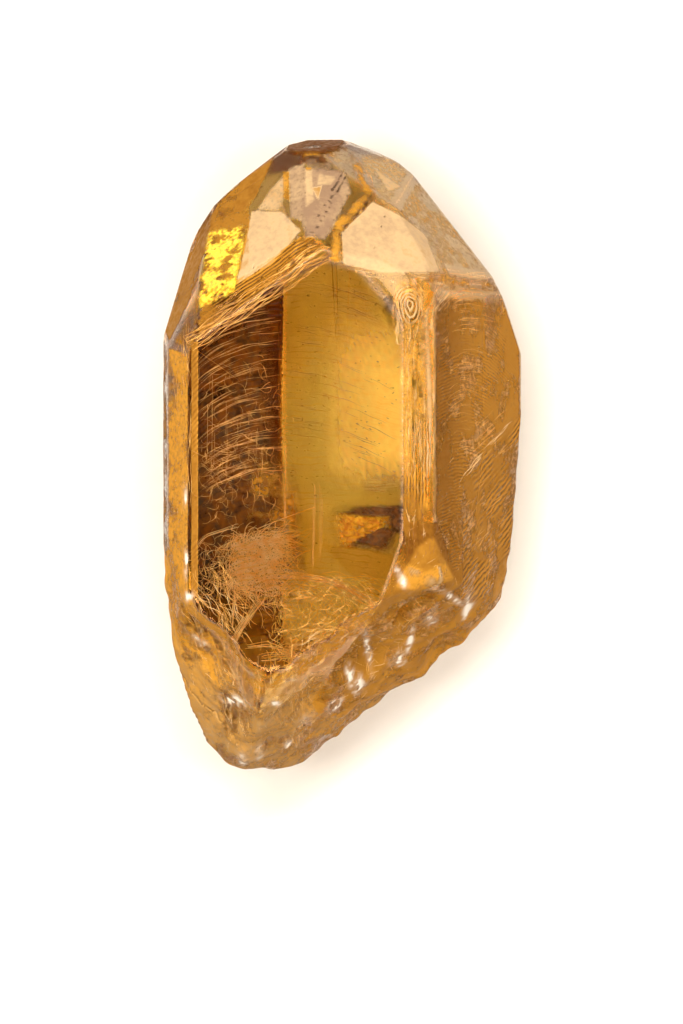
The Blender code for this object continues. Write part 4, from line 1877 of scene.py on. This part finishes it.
    def along_path(self, path: Array, count: int, seed: int, width: float, radius: Pair) -> Hairs:
        """Lines that run along part of a path, side by side and braided.

        Args:
            path: the path's corners.
            count: how many lines.
            seed: the seed of their chance places.
            width: how far to each side they lie at most.
            radius: their least and greatest radius.

        Returns:
            Their places and radii.
        """
        rng = np.random.default_rng(seed)
        knots = np.concatenate([[0.0], np.cumsum(np.linalg.norm(np.diff(path, axis=0), axis=1))])
        start = rng.uniform(-0.1, 0.8, count) * knots[-1]
        run = self.span(start, start + rng.uniform(0.15, 0.45, count) * knots[-1])
        line = np.stack([np.interp(run, knots, path[:, axis]) for axis in range(2)], axis=-1)
        ahead = np.stack([np.interp(run + 0.3, knots, path[:, axis]) for axis in range(2)], axis=-1) - line
        ahead /= np.linalg.norm(ahead, axis=2, keepdims=True) + 1e-9
        offset = rng.uniform(-width, width, (count, 1)) + 0.10 * np.sin(
            run * 2.2 + rng.uniform(0, 6, (count, 1))
        )
        x = line[..., 0] - offset * ahead[..., 1]
        y = line[..., 1] + offset * ahead[..., 0]
        return self.lay(x, y, rng.uniform(*radius, count))

    def whorl(self, place: Pair, seed: int) -> Hairs:
        """Broken rings round the hillock, drawn out towards the foot.

        Args:
            place: the hillock's middle.
            seed: the seed of their chance places.

        Returns:
            Their places and radii.
        """
        rng = np.random.default_rng(seed)
        radius = rng.uniform(0.25, 1.8, self.rings)
        turn = self.span(rng.uniform(-0.6, 2.2, self.rings), rng.uniform(2.4, 4.2, self.rings))
        far = radius[:, None] * (1 + 0.10 * np.sin(3 * turn + 5 * radius[:, None]))
        x = place[0] + 0.85 * far * np.cos(turn)
        y = place[1] + far * np.sin(turn) * np.where(np.sin(turn) > 0, 1.0, 1.9)
        return self.lay(x, y, rng.uniform(0.008, 0.020, self.rings))

    def golden(self) -> list[Hairs]:
        """The golden lines: the right face's arches, the set-back face's slants and the band's braids."""
        return [
            self.side_arches(90, 61, (5.0, 13.2), 4.6),
            self.side_arches(46, 62, (-1.0, 6.0), 3.0),
            self.streaks(190, 63, (9.2, -9.0), (13.2, 2.2), (40, 4), (1.2, 4.4), 0.03, (0.008, 0.022)),
            self.streaks(60, 64, (8.6, -11.0), (12.0, -5.0), (72, 10), (1.0, 3.6), 0.06, (0.008, 0.022)),
            self.along_path(np.array(BAND_PATH), 70, 65, 0.85, (0.012, 0.034)),
            self.streaks(70, 66, (-13.2, -7.0), (-11.9, 8.0), (90, 4), (0.8, 4.0), 0.05, (0.008, 0.020)),
            self.along_path(RIDGE_PATH, 60, 67, 0.55, (0.012, 0.032)),
            self.whorl((5.3, 11.9), 74),
            self.streaks(170, 68, (-6.4, -17.4), (3.6, -10.6), (10, 50), (0.6, 2.6), 0.16, (0.010, 0.024)),
            self.streaks(110, 69, (-12.4, -16.0), (-7.6, -8.0), (-60, 24), (0.6, 2.6), 0.12, (0.008, 0.020)),
        ]

    def cream(self) -> list[Hairs]:
        """The pale lines: the rib's streaks, the shelf's, the whorl's, and the break's."""
        return [
            self.streaks(60, 71, (6.5, -2.5), (7.25, 10.0), (91, 3), (0.8, 4.2), 0.05, (0.010, 0.028)),
            self.streaks(46, 72, (4.9, -4.0), (6.6, 9.5), (88, 4), (0.8, 3.6), 0.06, (0.008, 0.020)),
            self.streaks(50, 93, (4.9, -9.2), (8.2, -4.6), (60, 30), (0.3, 1.6), 0.10, (0.008, 0.020)),
            self.streaks(14, 94, (-8.0, 14.6), (-5.0, 17.4), (52, 8), (0.6, 2.2), 0.04, (0.006, 0.014)),
            self.streaks(26, 73, (6.8, 11.0), (7.4, 12.4), (58, 8), (1.4, 3.0), 0.05, (0.010, 0.026)),
            self.along_path(
                np.array(((0.6, 15.0), (3.6, 14.1), (8.2, 13.9), (11.6, 14.0))), 46, 75, 0.5, (0.008, 0.018)
            ),
            self.along_path(
                np.array(((2.2, 14.4), (4.2, 13.6), (4.6, 11.6), (4.6, 8.6))), 30, 76, 0.35, (0.008, 0.018)
            ),
            self.streaks(120, 77, (-9.5, -24.6), (-2.0, -19.0), (96, 12), (1.2, 3.8), 0.10, (0.008, 0.020)),
            self.streaks(120, 78, (-4.4, -23.6), (7.0, -14.0), (38, 24), (0.6, 2.4), 0.12, (0.008, 0.022)),
            self.streaks(80, 79, (3.6, -16.4), (9.0, -11.0), (-30, 40), (0.6, 2.2), 0.20, (0.008, 0.022)),
            self.along_path(np.array(((14.2, 3.4), (11.6, 0.6), (8.7, -3.0))), 16, 88, 0.09, (0.012, 0.030)),
            self.along_path(RIDGE_PATH, 16, 89, 0.34, (0.010, 0.022)),
            self.streaks(70, 80, (-12.8, -18.0), (-8.5, -10.0), (-62, 14), (0.8, 3.0), 0.10, (0.008, 0.020)),
        ]

    def dark(self) -> list[Hairs]:
        """The brown lines between the golden ones."""
        return [
            self.along_path(np.array(BAND_PATH), 44, 81, 0.85, (0.014, 0.034)),
            self.along_path(np.array(((-3.2, 15.7), (-1.6, 16.0), (-0.5, 16.3))), 10, 82, 0.06, (0.02, 0.04)),
            self.streaks(70, 83, (9.2, -9.0), (13.2, 2.2), (40, 4), (0.8, 3.0), 0.03, (0.010, 0.022)),
            self.streaks(12, 84, (1.2, -3.4), (2.6, -1.6), (2, 3), (1.4, 3.2), 0.04, (0.012, 0.030)),
            self.streaks(90, 85, (5.0, -8.6), (7.6, -2.0), (84, 16), (0.3, 1.4), 0.06, (0.010, 0.024)),
            self.along_path(RIDGE_PATH, 30, 86, 0.5, (0.010, 0.026)),
            self.front_droops(60, 90),
            self.streaks(90, 91, (-4.2, -2.5), (4.4, 14.4), (-25, 22), (0.08, 0.32), 0.0, (0.018, 0.046)),
            self.streaks(24, 92, (12.0, 6.5), (13.2, 12.0), (-4, 6), (0.3, 1.2), 0.02, (0.006, 0.014)),
            self.side_arches(16, 87, (4.0, 13.0), 3.0),
        ]


@dataclass
class FibreGrowths:
    """The hairs on and in the crystal: lines on its skin, the tuft under the front, and wisps low down."""

    threads: SkinThreads
    surface_level: float = HALF_THICKNESS - 0.004
    arch_count: int = 120
    arch_places: int = 16
    upright_bands: tuple[Triple, ...] = (
        (-11.2, 7.6, -2.0), (-10.4, 7.0, -3.0), (-9.1, 4.2, -2.4), (-7.3, 3.2, -1.5), (-6.5, 3.0, -2.0),
        (-4.5, 1.5, -8.0), (-2.2, -1.6, -9.8), (-1.8, -2.0, -9.0), (-9.9, -7.0, -12.5), (-8.6, -10.4, -13.8),
    )
    upright_count: int = 46
    upright_places: int = 12
    tan: FibreFinish = FibreFinish("tan_hairs", (0.74, 0.38, 0.10, 1), (0.40, 0.16, 0.03, 1))
    pale: FibreFinish = FibreFinish("pale_hairs", (1.0, 0.76, 0.42, 1), (0.97, 0.56, 0.21, 1))
    gold: FibreFinish = FibreFinish("golden_hairs", (1.0, 0.84, 0.34, 1), (0.96, 0.58, 0.14, 1))
    golden: FibreFinish = FibreFinish("golden_lines", (0.90, 0.52, 0.13, 1), (0.62, 0.27, 0.03, 1))
    cream: FibreFinish = FibreFinish("cream_lines", (0.95, 0.72, 0.40, 1), (0.80, 0.48, 0.15, 1))
    brown: FibreFinish = FibreFinish("brown_lines", (0.22, 0.085, 0.015, 1), (0.10, 0.03, 0.005, 1))

    def arches(self) -> Hairs:
        """Thin raised arches on the front's left half, broken at random."""
        rng = np.random.default_rng(11)
        count, places = self.arch_count, self.arch_places
        level = rng.uniform(-1.5, 12.6, (count, 1))
        right = rng.uniform(-9.0, -4.3, (count, 1))
        left = np.maximum(right - rng.uniform(1.2, 6.0, (count, 1)), -11.4)
        x = left + (right - left) * np.linspace(0, 1, places)[None, :]
        y = level - front_arch_level(x) + 0.05 * np.sin(2.2 * x + 7 * level)
        z = np.full_like(x, self.surface_level)
        radii = rng.uniform(0.006, 0.017, (count, 1)) * np.sin(
            math.pi * (0.08 + 0.84 * np.linspace(0, 1, places))
        )[None, :]
        return np.stack([x, y, z], axis=-1), radii

    def uprights(self) -> Hairs:
        """Straight thin lines along the crystal on the front."""
        rng = np.random.default_rng(12)
        bands = np.array(self.upright_bands)
        count, places = self.upright_count, self.upright_places
        pick = bands[rng.integers(0, len(bands), count)]
        x = pick[:, :1] + rng.normal(0, 0.16, (count, 1)) + 0.02 * np.sin(np.linspace(0, 5, places))[None, :]
        share = np.sort(rng.uniform(0, 1, (count, 2)), axis=1)
        top, low = pick[:, 1:2], pick[:, 2:]
        run = share[:, :1] + (share[:, 1:] - share[:, :1]) * np.linspace(0, 1, places)[None, :]
        y = top + (low - top) * run
        radii = rng.uniform(0.005, 0.013, (count, 1)) * np.ones((1, places))
        return np.stack([x, y, np.full_like(y, self.surface_level)], axis=-1), radii

    def surface_curls(self) -> list[Curls]:
        """Short curly hairs on the front's left half."""
        level = self.surface_level
        return [
            Curls(
                110, (-11.3, -3.5, level), (-5.0, 7.5, level), (0.4, 2.0), -80, 60, 100, (0.007, 0.016), 21
            ),
            Curls(60, (-11.3, -5.0, level), (-8.0, 1.0, level), (0.5, 2.2), -90, 50, 120, (0.008, 0.018), 22),
        ]

    def tuft_curls(self) -> list[Curls]:
        """The dense tuft, its spine and the thin net beside it."""
        return [
            Curls(560, (-8.9, -10.8, 9.9), (-5.4, -6.8, 11.2), (1.0, 3.4), -5, 34, 75, (0.012, 0.030), 31),
            Curls(220, (-9.0, -10.2, 10.2), (-7.2, -6.0, 11.2), (0.8, 2.4), -80, 40, 100, (0.012, 0.028), 32),
            Curls(90, (-11.6, -11.8, 10.4), (-8.8, -6.8, 11.2), (0.6, 2.6), -70, 60, 90, (0.008, 0.018), 33),
            Curls(60, (-7.4, -7.4, 10.4), (-5.6, -6.4, 11.1), (1.6, 3.6), 2, 12, 40, (0.014, 0.030), 34),
        ]

    def wisp_curls(self) -> list[Curls]:
        """Golden wisps low in the crystal."""
        return [
            Curls(230, (-5.8, -15.2, 7.4), (0.2, -11.6, 10.6), (1.0, 3.6), 0, 50, 110, (0.012, 0.028), 41),
            Curls(110, (-6.2, -18.2, 6.8), (-0.5, -14.6, 8.8), (1.2, 3.6), 5, 30, 80, (0.012, 0.026), 42),
            Curls(80, (-4.6, -10.6, 9.4), (1.6, -9.4, 10.8), (1.2, 3.2), -22, 12, 40, (0.012, 0.028), 43),
        ]

    def single_strands(self) -> list[Hairs]:
        """The separate longer hairs that stand out by themselves."""
        return [
            strands(
                ((-11.9, -8.1, 10.9), (-10.9, -6.5, 11.0), (-9.3, -6.0, 11.1), (-8.2, -5.7, 11.1)), 5, 0.16,
                0.024, 51
            ),
            strands(((-6.8, -6.0, 11.1), (-5.0, -5.2, 11.2), (-2.1, -4.2, 11.2)), 3, 0.06, 0.024, 52),
            strands(
                ((-6.1, -11.3, 10.6), (-7.4, -13.0, 10.3), (-8.5, -14.7, 10.1), (-8.5, -15.6, 9.9)), 9, 0.22,
                0.030, 53
            ),
            strands(((-6.6, -11.5, 10.5), (-7.9, -13.4, 10.2), (-8.8, -15.0, 9.9)), 6, 0.18, 0.026, 54),
            strands(((-4.4, -9.6, 10.8), (-1.0, -10.0, 10.6), (2.7, -12.1, 9.8)), 16, 0.34, 0.026, 55),
            strands(((-8.5, -10.5, 11.0), (-8.7, -13.7, 10.4)), 5, 0.12, 0.022, 56),
            strands(((-9.3, -12.4, 10.6), (-9.3, -14.4, 10.0)), 3, 0.10, 0.020, 57),
            strands(((-7.5, -15.2, 9.0), (-5.6, -15.1, 9.0), (-3.4, -15.9, 8.6)), 8, 0.30, 0.026, 58),
            strands(((-6.6, -16.2, 8.6), (-4.4, -15.9, 8.6), (-2.4, -16.6, 8.2)), 8, 0.30, 0.026, 59),
        ]

    def add(self, name: str, groups: list[Hairs], finish: FibreFinish) -> bpy.types.Object:
        """Joins groups of hairs into one piece.

        Args:
            name: the piece's name.
            groups: the hairs' places and radii.
            finish: its finish.

        Returns:
            The piece's object.
        """
        points, triangles, count = [], [], 0
        for paths, radii in groups:
            some, corners = tubes(paths, np.broadcast_to(radii, paths.shape[:2]))
            points.append(some)
            triangles.append(corners + count)
            count += len(some)
        return add_piece(name, np.concatenate(points), np.concatenate(triangles), finish.build())

    def build(self) -> list[bpy.types.Object]:
        """Makes the six pieces of hairs and growth lines.

        Returns:
            The front's striations, the tuft, the wisps, and the golden, cream and brown lines.
        """
        surface = [self.arches(), self.uprights()] + [curls.paths() for curls in self.surface_curls()]
        tuft = [curls.paths() for curls in self.tuft_curls()] + self.single_strands()
        wisps = [curls.paths() for curls in self.wisp_curls()]
        return [
            self.add("front_striations", surface, self.tan),
            self.add("fibre_tuft", [self.threads.sink(group) for group in tuft], self.pale),
            self.add("golden_wisps", [self.threads.sink(group) for group in wisps], self.gold),
            self.add("golden_striations", self.threads.golden(), self.golden),
            self.add("cream_striations", self.threads.cream(), self.cream),
            self.add("brown_striations", self.threads.dark(), self.brown),
        ]


@dataclass(frozen=True)
class VeilFinish:
    """A thin film inside the stone: glints of one colour over another, with gaps between the flakes."""

    name: str
    bright: Colour
    dark: Colour
    metallic: float
    roughness: float
    flake_size: float
    cover: Pair
    crumple: float = 0.0

    def build(self) -> bpy.types.Material:
        """Makes the material."""
        material, nodes, shader = new_material(self.name)
        shader.inputs["Metallic"].default_value = self.metallic
        place = nodes.millimetres()
        flakes = nodes.mottle(place, self.flake_size, *self.cover)
        fine = nodes.mottle(place, self.flake_size / 4, 0.30, 0.65)
        nodes.put(shader.inputs["Base Color"], nodes.blend(fine, self.dark, self.bright))
        nodes.put(
            shader.inputs["Roughness"],
            nodes.ramp(fine, 0.0, 1.0, self.roughness - 0.08, self.roughness + 0.12)
        )
        nodes.put(shader.inputs["Alpha"], nodes.math("MULTIPLY", nodes.mark("cover"), flakes))
        if self.crumple > 0:
            folds = nodes.add("Bump", None, Height=fine, Distance=self.crumple * MM, Strength=1.0)
            nodes.put(shader.inputs["Normal"], folds.outputs[0])
        return material


@dataclass(frozen=True)
class Veil:
    """One thin closed film between four corners, crumpled, with a cover that fades towards its rim.

    A place on it is the corners mixed by the two parameters, raised by the crumple's height.
    """

    name: str
    corners: tuple[Triple, ...]
    finish: VeilFinish
    relief: float = 0.15
    relief_size: float = 0.9
    thickness: float = 0.012
    rim: float = 0.08
    cells: int = 40
    fades: tuple[float, ...] = ()

    def build(self) -> bpy.types.Object:
        """Makes the film as a top and a bottom sheet joined all round its rim."""
        steps = np.linspace(0, 1, self.cells + 1)
        u, v = (grid[..., None] for grid in np.meshgrid(steps, steps, indexing="ij"))
        first, second, third, fourth = (np.array(corner) for corner in self.corners)
        top = ((1 - u) * ((1 - v) * first + v * fourth) + u * ((1 - v) * second + v * third)).reshape(-1, 3)
        top[:, 2] += self.relief * ripple(top * [1, 1, 0], self.relief_size, 3.0)
        low = top - np.array([0, 0, self.thickness])
        count = len(top)
        grid = np.arange(count).reshape(self.cells + 1, self.cells + 1)
        squares = np.stack(
            [grid[:-1, :-1], grid[1:, :-1], grid[1:, 1:], grid[:-1, 1:]], axis=-1
        ).reshape(-1, 4)
        rim = np.concatenate([grid[:-1, 0], grid[-1, :-1], grid[:0:-1, -1], grid[0, :0:-1]])
        onward = np.roll(rim, -1)
        faces = [squares[:, [0, 1, 2]], squares[:, [0, 2, 3]]]
        faces += [squares[:, [2, 1, 0]] + count, squares[:, [3, 2, 0]] + count]
        faces += [
            np.stack([onward, rim, rim + count], axis=1),
            np.stack([onward, rim + count, onward + count], axis=1)
        ]
        triangles = np.concatenate(faces)
        span = np.cross(second - first, third - first)[2]
        if span < 0:
            triangles = triangles[:, ::-1]
        u, v = u.ravel() + 0 * v.ravel(), v.ravel() + 0 * u.ravel()
        uneven = 0.04 * ripple(top * [1, 1, 0], 0.5, 5.0)
        fades = self.fades or (self.rim,) * 4
        cover = np.prod(
            [smooth_step(0.0, fade, way + uneven) for fade, way in zip(fades, (u, 1 - u, v, 1 - v))], axis=0
        )
        return add_piece(
            self.name, np.concatenate([top, low]), triangles, self.finish.build(),
            {"cover": np.tile(cover, 2)}
        )


# painted reflection: a crumpled film whose bright yellow paints the inner reflection at the top left of the
# point
GOLD_FLAKES_AND_PAINTED_REFLECTION = VeilFinish(
    "gold_flakes_and_painted_reflection", (0.98, 0.78, 0.06, 1), (0.92, 0.40, 0.01, 1), 0.0, 0.40, 1.1, (0.38, 0.56), 0.05
)
# partly painted reflection: a crumpled film whose bright red-gold paints the glint off a fracture
RED_GOLD_PAINTED_GLINT = VeilFinish(
    "red_gold_painted_glint_film", (1.0, 0.62, 0.06, 1), (0.80, 0.28, 0.01, 1), 0.1, 0.40, 1.3, (0.22, 0.60), 0.04
)
DARK_FILM = VeilFinish(
    "dark_film", (0.22, 0.070, 0.004, 1), (0.08, 0.020, 0.002, 1), 0.0, 0.50, 1.6, (0.05, 0.45)
)
# painted shade: a dim brown sheet deep under the front's left that gives its dark panel its brown
PAINTED_BROWN_SHADE = VeilFinish(
    "painted_brown_shade", (0.22, 0.072, 0.003, 1), (0.055, 0.015, 0.001, 1), 0.0, 0.60, 3.4, (0.0, 0.42)
)
# painted light: a bright orange sheet under the front that stands in for the glow of light through the stone
PAINTED_GOLD_GLOW = VeilFinish("painted_gold_glow", (1.0, 0.66, 0.11, 1), (1.0, 0.58, 0.07, 1), 0.0, 0.60, 3.0, (-2.4, 0.6))
# painted light: an orange sheet low on the left that stands in for light glowing through the stone
PAINTED_LOW_GLOW = VeilFinish(
    "painted_low_glow", (0.78, 0.38, 0.03, 1), (0.42, 0.17, 0.01, 1), 0.0, 0.60, 2.2, (0.34, 0.80)
)

VEILS = (
    # the fracture's glint, partly painted in the film's bright gold
    Veil(
        "fracture_glint", ((-1.4, -4.5, 6.4), (4.6, -4.5, 6.4), (3.9, -6.5, 6.1), (-0.6, -8.2, 6.0)),
        RED_GOLD_PAINTED_GLINT, 0.20, 0.8, fades=(0.35, 0.08, 0.12, 0.30)
    ),
    Veil(
        "fracture_dark_edge", ((-0.6, -4.0, 6.8), (4.8, -3.9, 6.8), (4.8, -5.1, 6.7), (-0.6, -5.0, 6.7)),
        DARK_FILM, 0.05, 1.2, fades=(0.6, 0.08, 0.45, 0.35)
    ),
    Veil(
        "fracture_dark_corner", ((3.1, -4.2, 7.0), (4.9, -4.0, 7.0), (4.9, -6.6, 6.9), (3.5, -5.9, 6.9)),
        DARK_FILM, 0.05, 1.2, fades=(0.55, 0.10, 0.2, 0.3)
    ),
    Veil(
        "fracture_dark_wedge", ((0.2, -7.2, 6.6), (3.0, -5.8, 6.6), (4.6, -5.9, 6.6), (4.3, -8.4, 6.5)),
        DARK_FILM, 0.05, 1.2, fades=(0.4, 0.10, 0.12, 0.5)
    ),
    # painted shade: the brown of the dark panel on the front's left
    Veil(
        "painted_brown_shade", ((-11.9, 8.4, 3.4), (-5.6, 12.6, 3.6), (-4.0, -9.6, 3.2), (-11.9, -10.4, 3.0)),
        PAINTED_BROWN_SHADE, 0.25, 2.6, fades=(0.06, 0.26, 0.06, 0.12)
    ),
    # painted light: golden glow low on the front's left
    Veil(
        "painted_low_glow", ((-7.6, 0.4, 7.4), (-3.4, -0.6, 7.4), (-2.6, -12.4, 6.4), (-7.8, -12.6, 6.6)),
        PAINTED_LOW_GLOW, 0.25, 1.8, rim=0.22
    ),
    # painted light: the glow in the gold panel of the front
    Veil(
        "painted_gold_glow", ((-2.8, 12.8, 9.6), (5.6, 12.2, 9.6), (5.6, -3.2, 9.6), (-2.6, -3.4, 9.6)), PAINTED_GOLD_GLOW,
        0.05, 1.8, fades=(0.72, 0.05, 0.42, 0.22)
    ),
)


@dataclass(frozen=True)
class SoftLight:
    """One soft light: which way and how far off it hangs, its size in metres and its power in watts.

    The azimuth turns from +x towards +y, the zenith angle opens from straight up.
    """

    name: str
    azimuth: float
    zenith: float
    distance: float
    size: Pair
    power: float
    colour: Triple = (1.0, 0.92, 0.80)
    spread: float = 100.0


SOFT_LIGHTS = (
    SoftLight("left_light", 180, 24, 0.42, (0.13, 0.20), 0.0725, spread=44),
    SoftLight("far_left_light", 126, 26, 0.42, (0.13, 0.13), 0.0485, spread=44),
    SoftLight("far_light", 86, 24, 0.42, (0.22, 0.13), 0.0645, spread=44),
    SoftLight("right_high_light", 0, 20, 0.42, (0.12, 0.18), 0.0430, spread=44),
    SoftLight("near_light", 270, 20, 0.42, (0.22, 0.12), 0.0752, spread=44),
    SoftLight("far_right_rim", 58, 74, 0.40, (0.26, 0.14), 0.0575, spread=60),
    SoftLight("warm_card", 0, 60, 0.42, (0.34, 0.26), 0.0575, (1.0, 0.46, 0.20), spread=180),
)


@dataclass
class Stage:
    """The pale floor, the soft lights and the camera."""

    floor_level: float = -0.00005
    floor_size: float = 1.0
    camera_place: Triple = (-0.00008, -0.0046, 0.8)
    view_height: float = 0.0819
    aim_depth: float = 0.788
    sensor: float = 36.0
    world_colour: Colour = (1.0, 0.60, 0.32, 1.0)
    world_strength: float = 0.18
    near_clip: float = 0.01
    paper: tuple[tuple[float, ...], tuple[float, ...]] = ((0.79, 0.79, 0.79, 1), (0.82, 0.82, 0.82, 1))
    paper_roughness: float = 0.9
    paper_grain: float = 0.8

    def floor(self) -> None:
        """Lays the floor."""
        half = self.floor_size
        mesh = bpy.data.meshes.new("pale_floor")
        corners = [(-half, -half), (half, -half), (half, half), (-half, half)]
        mesh.from_pydata([(x, y, self.floor_level) for x, y in corners], [], [(0, 1, 2, 3)])
        floor = bpy.data.objects.new("pale_floor", mesh)
        bpy.context.scene.collection.objects.link(floor)
        material, nodes, shader = new_material("pale_paper")
        tooth = nodes.noise(nodes.millimetres(), self.paper_grain, 4.0)
        nodes.put(shader.inputs["Base Color"], nodes.blend(tooth, *self.paper))
        nodes.put(shader.inputs["Roughness"], self.paper_roughness)
        mesh.materials.append(material)

    def light(self, light: SoftLight) -> None:
        """Hangs one soft light that looks at the crystal.

        Args:
            light: the light.
        """
        lamp = bpy.data.lights.new(light.name, "AREA")
        lamp.shape = "RECTANGLE"
        lamp.size, lamp.size_y = light.size
        lamp.energy = light.power
        lamp.color = light.colour
        lamp.spread = math.radians(light.spread)
        holder = bpy.data.objects.new(light.name, lamp)
        bpy.context.scene.collection.objects.link(holder)
        azimuth, zenith = math.radians(light.azimuth), math.radians(light.zenith)
        way = Vector((
            math.sin(zenith) * math.cos(azimuth), math.sin(zenith) * math.sin(azimuth), math.cos(zenith)
        ))
        holder.location = way * light.distance
        holder.rotation_euler = (-way).to_track_quat("-Z", "Y").to_euler()

    def build(self) -> None:
        """Sets up the floor, the lights, the dim surroundings and the camera."""
        scene = bpy.context.scene
        self.floor()
        for light in SOFT_LIGHTS:
            self.light(light)
        world = bpy.data.worlds.new("dim_surroundings")
        world.use_nodes = True
        background = world.node_tree.nodes["Background"]
        background.inputs["Color"].default_value = self.world_colour
        background.inputs["Strength"].default_value = self.world_strength
        scene.world = world
        lens = bpy.data.cameras.new("overhead_camera")
        lens.sensor_width = self.sensor
        lens.lens = self.sensor * self.aim_depth / self.view_height
        lens.clip_start = self.near_clip
        camera = bpy.data.objects.new("overhead_camera", lens)
        camera.location = self.camera_place
        scene.collection.objects.link(camera)
        scene.camera = camera
        scene.view_settings.view_transform = "Standard"


def main() -> None:
    """Builds the crystal and its stage, and reports each piece."""
    logging.basicConfig(level=logging.INFO, format="%(message)s")
    pieces = GoldenCrystal().build()
    pieces += FibreGrowths(SkinThreads(CrystalForm())).build()
    pieces += [veil.build() for veil in VEILS]
    for piece in pieces:
        LOG.info("%s: %d faces", piece.name, len(piece.data.polygons))
    Stage().build()
    LOG.info("stage: a floor, %d soft lights and an overhead camera", len(SOFT_LIGHTS))


if __name__ == "__main__":
    main()
